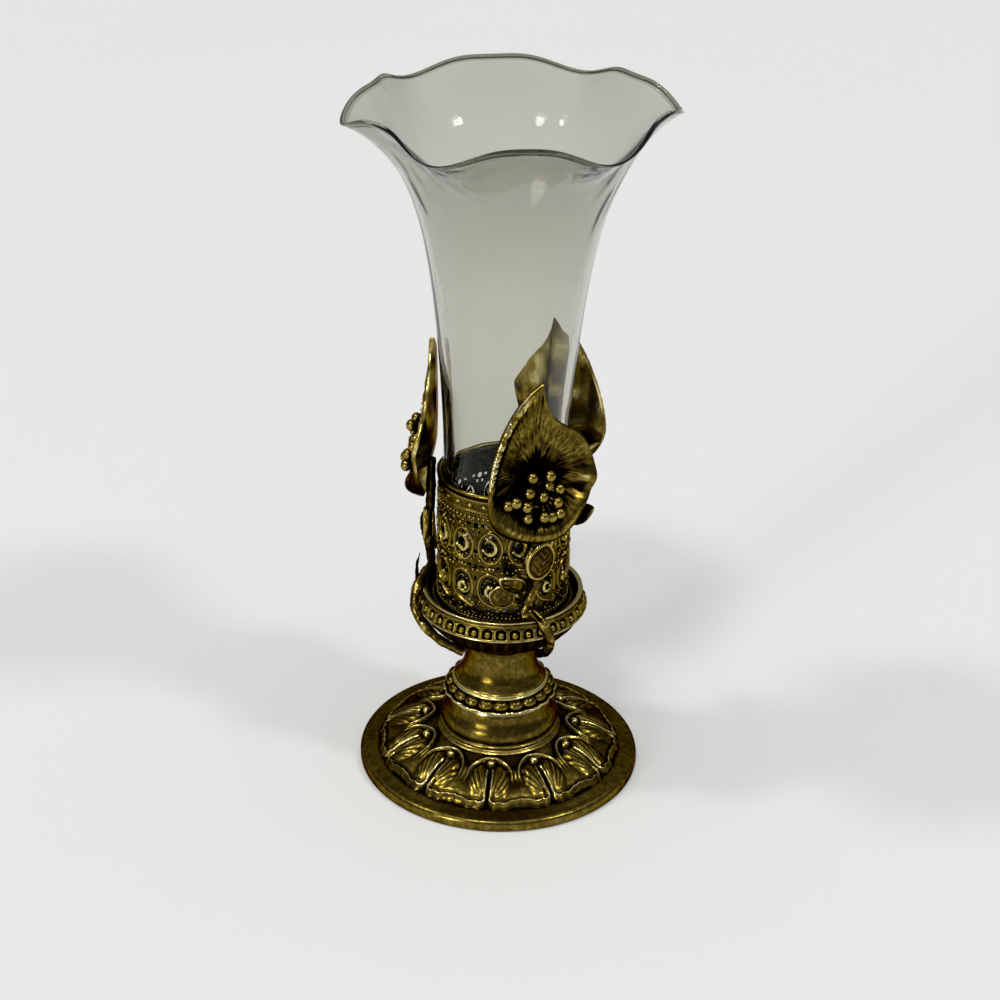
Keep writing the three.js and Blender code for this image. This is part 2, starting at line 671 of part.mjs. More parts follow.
function petalGeometry(throat, tip, lean) {
  const bowl = shell(petalOutline(tip, lean), [0.4, 0.72, 0.88, 1], (point, share, front) => {
    const up = point.length() > 0 ? point.y / point.length() : 0;
    const depth = petalDepth(share, up) - (front ? 0 : PETAL_WALL);
    return new THREE.Vector3(point.x, -depth, throat + point.y);
  });
  const meet = Math.sqrt(Math.max(twigStart - FLOWER_BACK - PETAL_WALL / 2, 0) / LIP_DEPTH);
  const calyxTop = throat - PETAL_LIP * meet;
  const calyx = turned(
    [
      [0, calyxTop - CALYX_LENGTH],
      [TWIG_RADIUS, calyxTop - CALYX_LENGTH],
      [TWIG_RADIUS * 1.25, calyxTop - CALYX_LENGTH * 0.4],
      [TWIG_RADIUS, calyxTop],
      [0, calyxTop],
    ],
    CALYX_FACETS,
  );
  return { geometry: joined([bowl, calyx.translate(0, -twigStart, 0)]), foot: calyxTop - CALYX_LENGTH };
}

// A rod of many-sided section along a curve
function rod(curve, radius, sides, steps) {
  const section = [];
  for (let i = 0; i < sides; i++) {
    const angle = (2 * Math.PI * i) / sides;
    section.push(new THREE.Vector2(radius * Math.cos(angle), radius * Math.sin(angle)));
  }
  const options = { steps, bevelEnabled: false, extrudePath: curve };
  return new THREE.ExtrudeGeometry(new THREE.Shape(section), options);
}

// Stamens: a boss in the throat with fine filaments that fan out to ball anthers, set in a sunflower spiral
function stamenGeometry(throat) {
  const clear = LIP_DEPTH * ((BOSS_RADIUS + STAMEN_DROP) / PETAL_LIP) ** 2 + SOLDER_GAP;
  const seat = FLOWER_BACK + PETAL_WALL + clear;
  const z = throat - STAMEN_DROP;
  const boss = turned(
    [
      [0, 0],
      [BOSS_RADIUS, 0],
      [BOSS_RADIUS * 0.8, BOSS_HEIGHT * 0.6],
      [0, BOSS_HEIGHT],
    ],
    CALYX_FACETS,
  );
  boss.rotateX(Math.PI / 2).translate(0, -seat, z);
  const pieces = [boss];
  const goldenAngle = Math.PI * (3 - Math.sqrt(5));
  for (let i = 0; i < STAMEN_COUNT; i++) {
    const spread = STAMEN_SPREAD * Math.sqrt(i + 0.4);
    const angle = i * goldenAngle;
    const root = new THREE.Vector3(0, -seat - BOSS_HEIGHT * 0.3, z);
    const rise = spread * Math.sin(angle) - STAMEN_DROOP;
    const head = new THREE.Vector3(spread * Math.cos(angle), -seat - STAMEN_REACH, z + rise);
    const filament = rod(new THREE.LineCurve3(root, head), FILAMENT_RADIUS, FILAMENT_SIDES, 1);
    const anther = new THREE.IcosahedronGeometry(ANTHER_RADIUS);
    pieces.push(filament, anther.translate(head.x, head.y, head.z));
  }
  return joined(pieces);
}

// Twig: down beside the cup, over the rim of the dish and along under it towards the neck,
// with a thorn on the rim
function twigGeometry(top, sweep) {
  const off = TWIG_RADIUS + SOLDER_GAP;
  const beside = CUP_RADIUS + BASE_WIRE_DIAMETER / 2 + off;
  const rimSide = DISH_RIM_RADIUS + off + TWIG_PLAY;
  const bellySide = DISH_RADIUS + off + TWIG_PLAY;
  const drop = top - DISH_TOP;
  const under = (share, azimuth) => {
    const [radius, z] = dishUnderside(share);
    const [inner, lower] = dishUnderside(share - 0.1);
    const along = new THREE.Vector2(radius - inner, z - lower).setLength(off + TWIG_PLAY);
    return around(radius + along.y, azimuth, z - along.x);
  };
  const rimTop = DISH_TOP + off + TWIG_RIM_RISE;
  const bellyLevel = DISH_BOTTOM + DISH_BELLY_HEIGHT;
  const points = [
    around(twigStart, 0, top - SOLDER_GAP),
    around(twigStart, 0, top - SOLDER_GAP - drop * 0.15),
    around(beside + TWIG_PLAY, 5, DISH_TOP + drop * 0.48),
    around(beside, -2, DISH_TOP + drop * 0.24),
    around(beside + TWIG_PLAY, -6, rimTop + TWIG_RIM_RISE),
    around(DISH_RIM_RADIUS - TWIG_RADIUS / 2, 0, rimTop + TWIG_PLAY),
    around(rimSide, sweep * 0.22, DISH_TOP - TWIG_RIM_RISE),
    around(bellySide, sweep * 0.4, bellyLevel + TWIG_RIM_RISE),
    under(0.75, sweep * 0.55),
    under(0.5, sweep * 0.75),
    under(0.2, sweep),
  ];
  const stem = rod(new THREE.CatmullRomCurve3(points), TWIG_RADIUS, TWIG_SIDES, 24);
  const thornCurve = new THREE.QuadraticBezierCurve3(
    around(rimSide, sweep * 0.25, DISH_TOP - TWIG_PLAY),
    around(rimSide + TWIG_RIM_RISE, -2, DISH_TOP + THORN_LENGTH * 0.6),
    around(rimSide, -6, DISH_TOP + THORN_LENGTH),
  );
  const thorn = rod(thornCurve, TWIG_RADIUS * 0.7, FINE_SIDES, 3);
  return joined([stem, thorn]);
}

// A domed leaf laid round the cup: an oval that draws in towards its point and stands off there
function leafGeometry(leaf, radius, azimuth, drop) {
  const outline = [];
  for (let k = 0; k < LEAF_POINTS; k++) {
    const angle = (2 * Math.PI * k) / LEAF_POINTS;
    const upper = Math.max(Math.sin(angle), 0);
    const half = (leaf.width / 2) * (1 - leaf.point * upper ** 2 * 0.5);
    outline.push(new THREE.Vector2(half * Math.cos(angle), (leaf.height / 2) * Math.sin(angle)));
  }
  const turn = radians(leaf.turn);
  return shell(outline, [0.6, 1], (point, share, front) => {
    const flat = point.clone().rotateAround(new THREE.Vector2(), turn);
    const stand = leaf.stand * (0.5 + point.y / leaf.height);
    const out = radius + leaf.crown * (1 - share ** 2) + stand + (front ? LEAF_WALL : 0);
    const place = azimuth + THREE.MathUtils.radToDeg(flat.x / radius);
    return around(out, place, CUP_TOP - drop - leaf.height / 2 + flat.y);
  });
}

function piece(name, geometry, material) {
  const mesh = new THREE.Mesh(geometry, material);
  mesh.name = name;
  return mesh;
}

function sprayGroup(number, { azimuth, lift, tip, lean, sweep, leafAzimuth, leafDrop }) {
  const name = (part) => `spray_${number}_${part}`;
  const throat = CUP_TOP + THROAT_ABOVE_CUP + lift;
  const petal = petalGeometry(throat, tip, lean);
  const onWall = CUP_RADIUS + SOLDER_GAP;
  const budLeaf = twigStart + TWIG_RADIUS + SOLDER_GAP;
  const spray = new THREE.Group();
  spray.rotation.z = radians(azimuth);
  spray.add(
    piece(name('petal'), petal.geometry, gilt),
    piece(name('stamens'), stamenGeometry(throat), gilt),
    piece(name('twig'), twigGeometry(petal.foot, sweep), darkGilt),
    piece(name('bud_leaf'), leafGeometry(BUD_LEAF, budLeaf, BUD_LEAF_AZIMUTH, BUD_LEAF_DROP), darkGilt),
    piece(name('pointed_leaf'), leafGeometry(POINTED_LEAF, onWall, leafAzimuth, leafDrop), gilt),
    piece(name('round_leaf'), leafGeometry(ROUND_LEAF, onWall, ROUND_LEAF_AZIMUTH, ROUND_LEAF_DROP), gilt),
  );
  return spray;
}

const vase = new THREE.Group();
vase.add(
  piece('foot', footGeometry(), gilt),
  piece('hub_ring', hubGeometry(), gilt),
  piece('bead_ring', beadRingGeometry(), gilt),
  piece('spool', spoolGeometry(), gilt),
  piece('dish', dishGeometry(), gilt),
  piece('cup_floor', cupFloorGeometry(), darkGilt),
  piece('cup_filigree', filigreeGeometry(), gilt),
);
const bandOuter = CUP_RADIUS + RIM_BAND_PROUD;
const wireTop = CUP_BOTTOM + BASE_WIRE_DIAMETER;
vase.add(
  piece('cup_rim_band', bandGeometry(CUP_INNER_RADIUS, bandOuter, BAND_BOTTOM, CUP_TOP), gilt),
  piece('cup_base_wire', bandGeometry(BASE_WIRE_INNER, BASE_WIRE_OUTER, CUP_BOTTOM, wireTop), gilt),
);
vase.add(
  piece('tie_bolt', boltGeometry(), steel),
  piece('foot_washer', washerGeometry(), steel),
  piece('foot_nut', nutGeometry(), steel),
  piece('glass_insert', glassGeometry(), clearGlass),
);
SPRAYS.forEach((spray, i) => vase.add(sprayGroup(i + 1, spray)));

export default vase;
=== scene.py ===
import math

import bpy
import numpy as np
from mathutils import Matrix, Vector, noise


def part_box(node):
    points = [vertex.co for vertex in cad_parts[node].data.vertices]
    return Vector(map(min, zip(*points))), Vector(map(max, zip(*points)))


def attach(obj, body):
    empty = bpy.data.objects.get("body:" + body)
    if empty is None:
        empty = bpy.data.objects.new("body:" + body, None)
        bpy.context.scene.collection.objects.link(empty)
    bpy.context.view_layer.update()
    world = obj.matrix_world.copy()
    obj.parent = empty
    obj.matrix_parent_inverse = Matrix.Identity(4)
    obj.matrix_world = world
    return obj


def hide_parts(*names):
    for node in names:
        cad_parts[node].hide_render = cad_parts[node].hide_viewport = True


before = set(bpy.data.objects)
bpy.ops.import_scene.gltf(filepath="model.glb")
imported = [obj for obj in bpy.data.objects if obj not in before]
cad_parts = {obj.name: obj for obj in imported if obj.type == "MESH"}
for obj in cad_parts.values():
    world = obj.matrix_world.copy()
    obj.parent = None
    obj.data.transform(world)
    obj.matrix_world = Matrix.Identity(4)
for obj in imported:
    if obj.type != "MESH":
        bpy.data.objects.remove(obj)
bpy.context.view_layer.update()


# Foot. A round saucer of brass sheet, pressed in a die so that eleven leaves with arched palmettes between
# them stand up round it, then gilded and antiqued. It stands on its turned edge, and the tie bolt holds it.
def around(radius, azimuth, z):
    """The place at a radius, an azimuth in degrees and a height: single values, or one for each point."""
    angle = np.radians(azimuth)
    return np.stack([radius * np.sin(angle), -radius * np.cos(angle), z], -1)


def edit_all():
    """Edit mode, with the whole mesh selected."""
    bpy.ops.object.mode_set(mode="EDIT")
    bpy.ops.mesh.select_all(action="SELECT")


def leave_edit():
    bpy.ops.object.mode_set(mode="OBJECT")


def draw_outline(name, points, azimuth=0.0):
    """One vertex, drawn out along (radius, height) points in millimetres at an azimuth. Stays in edit mode."""
    bpy.ops.mesh.primitive_circle_add(vertices=3, radius=0.1, location=(0, 0, 0))
    drawn = bpy.context.object
    drawn.name = name
    corners = [Vector(around(r, azimuth, z)) for r, z in points]
    edit_all()
    bpy.ops.mesh.merge(type="CENTER")
    bpy.ops.transform.translate(value=corners[0])
    for here, there in zip(corners, corners[1:]):
        bpy.ops.mesh.extrude_region_move(TRANSFORM_OT_translate={"value": there - here})
    return drawn


def spin_outline(steps, angle=360.0):
    """Spins the drawn outline round the upright axis, closes its seam and leaves edit mode."""
    edit_all()
    bpy.ops.mesh.spin(steps=steps, angle=math.radians(angle), center=(0, 0, 0), axis=(0, 0, 1))
    close_seams()
    leave_edit()


def copy_round(count, weld=True):
    """Repeats the modelled sector round the upright axis and welds the copies where they meet."""
    edit_all()
    turn = 2 * math.pi * (count - 1) / count
    bpy.ops.mesh.spin(steps=count - 1, dupli=True, angle=turn, center=(0, 0, 0), axis=(0, 0, 1))
    if weld:
        close_seams()
    leave_edit()


def close_seams():
    """Welds points that lie together and turns every face outwards."""
    edit_all()
    bpy.ops.mesh.remove_doubles(threshold=0.002)
    bpy.ops.mesh.normals_make_consistent(inside=False)


def read_points(piece):
    places = np.empty(len(piece.data.vertices) * 3)
    piece.data.vertices.foreach_get("co", places)
    return places.reshape(-1, 3)


def move_points(piece, places):
    piece.data.vertices.foreach_set("co", np.ascontiguousarray(places).ravel())
    piece.data.update()


def read_normals(piece):
    normals = np.empty(len(piece.data.vertices) * 3)
    piece.data.vertex_normals.foreach_get("vector", normals)
    return normals.reshape(-1, 3)


def polar(places):
    """Radius and azimuth in degrees of each point."""
    return np.hypot(places[:, 0], places[:, 1]), np.degrees(np.arctan2(places[:, 0], -places[:, 1]))


def hump(value, centre, width):
    """A soft ridge: 1 where the value is at the centre, falling away to both sides."""
    return np.exp(-((value - centre) / width) ** 2)


def ease(low, high, value):
    """0 at low, 1 at high and a soft S between them. Low may be the greater of the two."""
    share = np.clip((value - low) / (high - low), 0, 1)
    return share * share * (3 - 2 * share)


def pick(*pieces):
    """Selects these pieces alone and makes the first of them active."""
    bpy.ops.object.select_all(action="DESELECT")
    for piece in pieces:
        piece.select_set(True)
    bpy.context.view_layer.objects.active = pieces[0]


def to_metres(piece):
    """A piece is drawn in millimetres. This brings it down to metres with its place left in its mesh."""
    pick(piece)
    piece.scale = (0.001, 0.001, 0.001)
    bpy.ops.object.transform_apply(location=True, rotation=True, scale=True)
    bpy.ops.object.shade_smooth()


def rub(piece, reach, rounds=14):
    """Handling rubs the proud places bright and leaves the hollows dark: a value on each point, 0.5 on plain
    ground, from how far (in millimetres) it stands out from its smoothed surroundings. Returns the values."""
    mesh = piece.data
    places = read_points(piece) * 1000
    ends = np.empty(len(mesh.edges) * 2, dtype=np.int64)
    mesh.edges.foreach_get("vertices", ends)
    ends = ends.reshape(-1, 2)
    here = np.concatenate([ends[:, 0], ends[:, 1]])
    there = np.concatenate([ends[:, 1], ends[:, 0]])
    count = len(places)
    degree = np.maximum(np.bincount(here, minlength=count), 1)[:, None]
    soft = places
    for _ in range(rounds):
        soft = np.stack([np.bincount(here, soft[there, k], count) for k in range(3)], 1) / degree
    proud = ((places - soft) * read_normals(piece)).sum(1)
    worn = np.clip(0.5 + (proud - np.median(proud)) / (2 * reach), 0, 1)
    mark(piece, "wear", worn)
    return worn


def mark(piece, name, values):
    """Stores a value on each point for the material to read."""
    layer = piece.data.attributes.get(name) or piece.data.attributes.new(name, "FLOAT", "POINT")
    layer.data.foreach_set("value", np.asarray(values, dtype=np.float32))


def paint(code):
    """An sRGB hex colour as linear red, green, blue and alpha."""
    parts = [int(code[i:i + 2], 16) / 255 for i in (1, 3, 5)]
    return [p / 12.92 if p <= 0.04045 else ((p + 0.055) / 1.055) ** 2.4 for p in parts] + [1.0]


def add_node(tree, kind, settings=None, links=None):
    """Adds a shader node, sets its options, sockets and colour stops, and links it to other nodes' outputs."""
    node = tree.nodes.new("ShaderNode" + kind)
    for name, value in (settings or {}).items():
        if name == "stops":
            stops = node.color_ramp.elements
            stops[0].position, stops[1].position = value[0][0], value[-1][0]
            for position, _ in value[1:-1]:
                stops.new(position)
            for stop, (_, code) in zip(stops, value):
                stop.color = paint(code)
        elif isinstance(name, str) and hasattr(node, name):
            setattr(node, name, value)
        else:
            node.inputs[name].default_value = value
    for name, (source, output) in (links or {}).items():
        tree.links.new(source.outputs[output], node.inputs[name])
    return node


def new_material(name):
    """An empty material, and the tree that its nodes go in."""
    material = bpy.data.materials.new(name)
    material.use_nodes = True
    material.node_tree.nodes.clear()
    return material, material.node_tree


def antiqued_gilt(name, stops, rough_worn, rough_dull):
    """Antiqued gilding: yellow gold where hands rub it, olive on plain ground, brown-black wax and tarnish left in
    the hollows. On some parts the wear mark also carries painted highlights and painted shade, and the second mark
    darkens both tarnished hollows and places of painted shade. The eye gets broad cloudy mottling, a fine cast
    grain and small bright edges."""
    material, tree = new_material(name)
    place = add_node(tree, "TexCoord")
    wear = add_node(tree, "Attribute", {"attribute_name": "wear"})
    soot = add_node(tree, "Attribute", {"attribute_name": "soot"})
    clouds = add_node(tree, "TexNoise", {"Scale": 1 / 0.006, "Detail": 4.0, "Roughness": 0.6},
                      {"Vector": (place, "Object")})
    mottle = add_node(tree, "TexNoise", {"Scale": 1 / 0.0014, "Detail": 6.0, "Roughness": 0.7},
                      {"Vector": (place, "Object")})
    grain = add_node(tree, "TexNoise", {"Scale": 1 / 0.00035, "Detail": 2.0}, {"Vector": (place, "Object")})
    cloudy = add_node(tree, "Math", {"operation": "MULTIPLY_ADD", 1: 0.3, 2: -0.15}, {0: (clouds, "Fac")})
    mottled = add_node(tree, "Math", {"operation": "MULTIPLY_ADD", 1: 0.7, 2: -0.35}, {0: (mottle, "Fac")})
    broken = add_node(tree, "Math", {"operation": "ADD"}, {0: (cloudy, 0), 1: (mottled, 0)})
    rubbed_and_lit = add_node(tree, "Math", {"operation": "ADD"}, {0: (wear, "Fac"), 1: (broken, 0)})
    clean = add_node(tree, "Math", {"operation": "SUBTRACT", "use_clamp": True},
                     {0: (rubbed_and_lit, 0), 1: (soot, "Fac")})
    colour = add_node(tree, "ValToRGB", {"stops": stops}, {"Fac": (clean, 0)})
    rough = add_node(tree, "MapRange",
                     {"From Min": 0.1, "From Max": 0.85, "To Min": rough_dull, "To Max": rough_worn},
                     {"Value": (clean, 0)})
    uneven = add_node(tree, "Math", {"operation": "MULTIPLY_ADD", 1: 0.16, 2: -0.08}, {0: (grain, "Fac")})
    roughness = add_node(tree, "Math", {"operation": "ADD", "use_clamp": True},
                         {0: (rough, 0), 1: (uneven, 0)})
    pitted = add_node(tree, "Bump", {"Strength": 0.5, "Distance": 0.00008}, {"Height": (mottle, "Fac")})
    gold = add_node(tree, "BsdfPrincipled", {"Metallic": 1.0, "Specular Tint": paint("#84703c")},
                    {"Base Color": (colour, 0), "Roughness": (roughness, 0), "Normal": (pitted, 0)})
    add_node(tree, "OutputMaterial", {}, {"Surface": (gold, 0)})
    return material


antique_gilt = antiqued_gilt(
    "antiqued gilt brass",
    [(0.0, "#050201"), (0.24, "#1d1305"), (0.5, "#5e4f1b"), (0.72, "#9a863f"), (0.95, "#e4d697")],
    rough_worn=0.13, rough_dull=0.31)

LEAF_COUNT = 11
LEAF_PITCH = 360 / LEAF_COUNT
GROOVE_AZIMUTH = -5
BOLT_BORE = 2.8
SEAT_EDGE = 17.4
HUB_SEAT = 18.4
BALL_AT = 22.8
BALL_RADIUS = 1.2
ARCH_END = 26.6
ARCH_RISE = 6.3
LEAF_END = 37.2
FOOT_RADIUS = 41.8
FOOT_TOP = 11.6
FLANGE_TOP = 3.6
SHEET = 1.8


def foot_slope(radius):
    """The plain slope of the foot, before its leaves are pressed."""
    along = np.clip((radius - HUB_SEAT) / (LEAF_END - HUB_SEAT), 0, 1)
    return FOOT_TOP + (FLANGE_TOP - FOOT_TOP) * along ** 1.15


def palmette_height(radius, across):
    """Height of the pressed top at a radius and at degrees across from a groove: an arch with a raised line in
    it, two fluted lobes below, a groove and a curled lip round each leaf, and a ball in the mouth of each arch."""
    turn = np.abs(across)
    side = np.radians(turn) * radius
    middle = np.radians(LEAF_PITCH / 2 - turn) * radius
    plain = foot_slope(radius)
    arch = np.hypot(turn / 14.4, np.clip(ARCH_END - radius, 0, None) / ARCH_RISE)
    inside = (1 - arch) * ARCH_RISE
    upper = ease(30, 26.5, radius)
    leaf = plain + 0.6 * ease(20.5, 26, radius)
    outside = ease(17.7, 18.3, radius) * ease(26.5, 22.5, radius)
    leaf -= 1.1 * ease(0.05, -0.9, inside) * outside
    leaf += 0.4 * hump(inside, 0.2, 0.24) * upper
    leaf -= 0.35 * hump(inside, 1.3, 0.7) * upper
    reach = np.hypot((side - 3.3) / 2.9, (radius - 29.4) / 5.9)
    bulge = np.clip(1 - reach ** 2, 0, 1) ** 0.8
    leaf += 0.95 * bulge
    fan = np.degrees(np.arctan2(side - 0.3, 37.5 - radius))
    flutes = np.abs(np.cos(np.pi * (fan - 1.5) / 9.2)) ** 0.8 - 0.6
    leaf += 0.3 * flutes * ease(0.08, 0.4, bulge) * ease(34, 31, radius)
    leaf += 0.4 * hump(middle, 0, 0.35) * ease(23.6, 25, radius) * ease(29.5, 27, radius)
    leaf += 0.35 * hump(middle, 0, 3.4) * ease(28, 32, radius)
    corner = 1.9
    half_groove = 0.5 + 0.7 * ease(34, 36.4, radius)
    closed = 4 * ease(24.6, 23.4, radius)
    beyond = half_groove - side - closed
    across_out = np.where(beyond > 0, corner + 3 * beyond, np.clip(corner + beyond, 0, None))
    lip = 35.6 - 0.9 * hump(middle, 0, 3.4) + 0.15 * np.sin(middle * 1.7)
    outward = np.clip(corner - (lip - radius), 0, None)
    within = corner - np.hypot(across_out, outward)
    leaf += 0.3 * hump(within, 0.35, 0.3) * ease(23.5, 25.5, radius)
    leaf -= 0.4 * hump(within, 1.2, 0.55) * ease(31, 33.5, radius)
    floor = plain - 0.65
    floor += (FLANGE_TOP - floor) * ease(32.5, 36.8, radius)
    roll = np.sqrt(1 - np.clip((0.3 - within) / 1.15, 0, 1) ** 2)
    height = floor + (leaf - floor) * roll
    ball = np.hypot(side, radius - BALL_AT)
    height -= 0.6 * hump(ball, BALL_RADIUS + 0.5, 0.5)
    dome = foot_slope(np.float64(BALL_AT)) + 0.1 + np.sqrt(np.clip(BALL_RADIUS ** 2 - ball ** 2, 0, None))
    return np.where(ball < BALL_RADIUS - 0.05, np.maximum(height, dome), height)


foot_outline = [(BOLT_BORE, FOOT_TOP - SHEET), (BOLT_BORE, FOOT_TOP), (12.0, FOOT_TOP), (SEAT_EDGE, FOOT_TOP)]
rings = np.concatenate([np.linspace(SEAT_EDGE + 0.2, 33.4, 50), np.linspace(33.6, LEAF_END, 24)])
foot_outline += [(r, float(foot_slope(r))) for r in rings]
turned_edge = [(3.4, 3.42), (2.2, 3.24), (1.4, 3.2), (0.9, 3.16), (0.5, 2.95), (0.18, 2.5), (0, 1.9), (0, 1.0)]
turned_edge += [(0, 0.3), (0.3, 0), (2.7, 0), (3.0, 0.3), (3.0, SHEET)]
foot_outline += [(FOOT_RADIUS - inset, z) for inset, z in turned_edge]
foot_outline += [(r, float(foot_slope(r)) - SHEET) for r in (36.0, 32.0, 28.0, 24.0, HUB_SEAT)]
foot_outline += [(10.0, FOOT_TOP - SHEET), foot_outline[0]]
foot = draw_outline("foot_saucer", foot_outline, GROOVE_AZIMUTH - LEAF_PITCH / 2)
spin_outline(84, LEAF_PITCH)
points = read_points(foot)
radius, azimuth = polar(points)
across = (azimuth - GROOVE_AZIMUTH + LEAF_PITCH / 2) % LEAF_PITCH - LEAF_PITCH / 2
pressed = (radius > SEAT_EDGE + 0.1) & (radius < LEAF_END) & (points[:, 2] > foot_slope(radius) - SHEET / 2)
points[pressed, 2] = palmette_height(radius[pressed], across[pressed])
move_points(foot, points)
copy_round(LEAF_COUNT)
to_metres(foot)
worn = rub(foot, 0.32)
radius, _ = polar(read_points(foot) * 1000)
plain_flange = (0.54 - worn) * ease(36.0, 37.4, radius)
# Painted shade: a dark ring is painted on the foot round the foot of the hub. The rest is rubbed wear, with the
# flange evened out.
mark(foot, "wear", worn + plain_flange - 0.35 * ease(HUB_SEAT, HUB_SEAT - 0.5, radius))
foot.data.materials.append(antique_gilt)
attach(foot, "holder")
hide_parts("foot")


# Hub ring. A smooth collar, spun from brass and gilded: it swells out below like a bell, over a fine turned
# ridge. It stands on the foot and the tie bolt clamps it there.
def swept(points, between=6):
    """A smooth line through (radius, height) points, as finely stepped points."""
    line = np.array(points, float)
    padded = np.vstack([2 * line[0] - line[1], line, 2 * line[-1] - line[-2]])
    steps = []
    for a, b, c, d in zip(padded, padded[1:], padded[2:], padded[3:]):
        for t in np.linspace(0, 1, between, endpoint=False):
            steps.append(0.5 * (2 * b + (c - a) * t + (2 * a - 5 * b + 4 * c - d) * t ** 2
                                + (3 * b - a - 3 * c + d) * t ** 3))
    return [tuple(step) for step in steps] + [tuple(line[-1])]


def raised(base, points):
    """Points drawn from a piece's own base, lifted to the height where it stands."""
    return [(r, base + z) for r, z in points]


HUB_HEIGHT = 11.4
HUB_TOP = FOOT_TOP + HUB_HEIGHT
bell = [(17.05, 1.2), (17.5, 2.0), (17.55, 3.2), (17.1, 4.8), (16.3, 6.3), (15.8, 7.6), (15.5, 9.2), (15.1, 10.4)]
hub_outline = [(BOLT_BORE, 0), (16.6, 0), (17.35, 0.1), (17.62, 0.45), (17.45, 0.8), (17.0, 1.0)]
hub_outline += swept(bell, 8) + [(14.9, 10.8), (14.8, HUB_HEIGHT), (BOLT_BORE, HUB_HEIGHT), (BOLT_BORE, 0)]
hub = draw_outline("hub_collar", raised(FOOT_TOP, hub_outline))
spin_outline(160)
to_metres(hub)
rub(hub, 0.7)
# Painted shade: the hub's bottom ridge, where it stands on the foot, is darkened.
mark(hub, "soot", 0.22 * ease(FOOT_TOP + 1.2, FOOT_TOP + 0.8, read_points(hub)[:, 2] * 1000))
hub.data.materials.append(antique_gilt)
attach(hub, "holder")
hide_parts("hub_ring")


# Bead ring. A conical brass collar with twenty solid round beads soldered side by side round it, between a
# scalloped flange below and a thin one above. It is threaded on the tie bolt between hub and spool.
def join_pieces(name, pieces):
    pick(*pieces)
    bpy.ops.object.join()
    bpy.context.object.name = name
    return bpy.context.object


BEAD_COUNT = 20
BEAD_AZIMUTH = 1.5
BEAD_RADIUS = 1.9
COLLAR_HEIGHT = 4.2
COLLAR_TOP = HUB_TOP + COLLAR_HEIGHT
collar_outline = [(BOLT_BORE, 0), (16.0, 0), (16.7, 0.1), (16.95, 0.4), (16.8, 0.7), (16.4, 0.85), (15.7, 0.85)]
collar_outline += [(15.2, 1.0), (14.4, 2.1), (13.5, 3.2), (13.6, 3.4), (14.0, 3.5), (14.2, 3.75), (14.1, 4.0)]
collar_outline += [(13.8, COLLAR_HEIGHT), (BOLT_BORE, COLLAR_HEIGHT), (BOLT_BORE, 0)]
collar = draw_outline("bead_collar", raised(HUB_TOP, collar_outline))
spin_outline(200)
points = read_points(collar)
radius, azimuth = polar(points)
scallop = np.abs(np.cos(np.radians(azimuth - BEAD_AZIMUTH) * BEAD_COUNT / 2)) ** 0.7
stretch = 1 - 0.04 * (1 - scallop) * (points[:, 2] < HUB_TOP + 1) * ease(15.2, 16.4, radius)
move_points(collar, points * np.stack([stretch, stretch, np.ones(len(points))], 1))
bead_place = tuple(around(14.2, BEAD_AZIMUTH, HUB_TOP + 1.75))
bpy.ops.mesh.primitive_uv_sphere_add(segments=28, ring_count=18, radius=BEAD_RADIUS, location=bead_place)
bead = bpy.context.object
bpy.ops.object.transform_apply(location=True, rotation=False, scale=False)
edit_all()
bpy.ops.transform.resize(value=(1.25, 1, 1.0), center_override=bead_place)
copy_round(BEAD_COUNT)
bead_ring = join_pieces("bead_collar", [collar, bead])
to_metres(bead_ring)
rub(bead_ring, 0.6, 10)
bead_ring.data.materials.append(antique_gilt)
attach(bead_ring, "holder")
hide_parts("bead_ring")


# Spool. The waisted neck of the stand, turned smooth from brass with a stepped foot and a rolled top, and
# gilded. It is clamped between the bead ring and the dish.
SPOOL_HEIGHT = 14.2
SPOOL_TOP = COLLAR_TOP + SPOOL_HEIGHT
waist = [(13.2, 0.9), (12.35, 2.3), (11.5, 3.8), (10.85, 5.8), (10.45, 8.3), (10.3, 11.1), (10.5, 12.8)]
spool_outline = [(BOLT_BORE, 0), (13.4, 0), (13.75, 0.15), (13.8, 0.4), (13.6, 0.65), (13.25, 0.75)]
spool_outline += swept(waist, 7) + [(10.75, 13.1), (11.1, 13.4), (11.2, 13.8), (11.1, 14.1), (10.8, SPOOL_HEIGHT)]
spool_outline += [(BOLT_BORE, SPOOL_HEIGHT), (BOLT_BORE, 0)]
spool = draw_outline("waisted_spool", raised(COLLAR_TOP, spool_outline))
spin_outline(144)
to_metres(spool)
rub(spool, 0.5)
spool.data.materials.append(antique_gilt)
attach(spool, "holder")
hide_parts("spool")


# Dish. A cast brass bowl with flutes underneath, a band of round beads in arched cells above its widest ring
# and a plain rolled rim round a sunk well. The cup stands in the well, and the twigs hook over the rim.
GADROONS = 38
GADROON_PITCH = 360 / GADROONS
BOWL_STEPS = 42
BAND_STEPS = 26
BAND_LOW = 53.15
BAND_RISE = 3.2
DISH_WELL = 54.8
DISH_RIM = 58.1
BEAD_DOME = 1.15


def dish_bowl(share):
    """The bowl's underside, half-way between a cone and a quarter ellipse, from its lip to its widest ring."""
    turn = share * np.pi / 2
    out, rise = (share + np.sin(turn)) / 2, (share + 1 - np.cos(turn)) / 2
    return np.stack([11.8 + 12.8 * out, SPOOL_TOP + 11.6 * rise], -1)


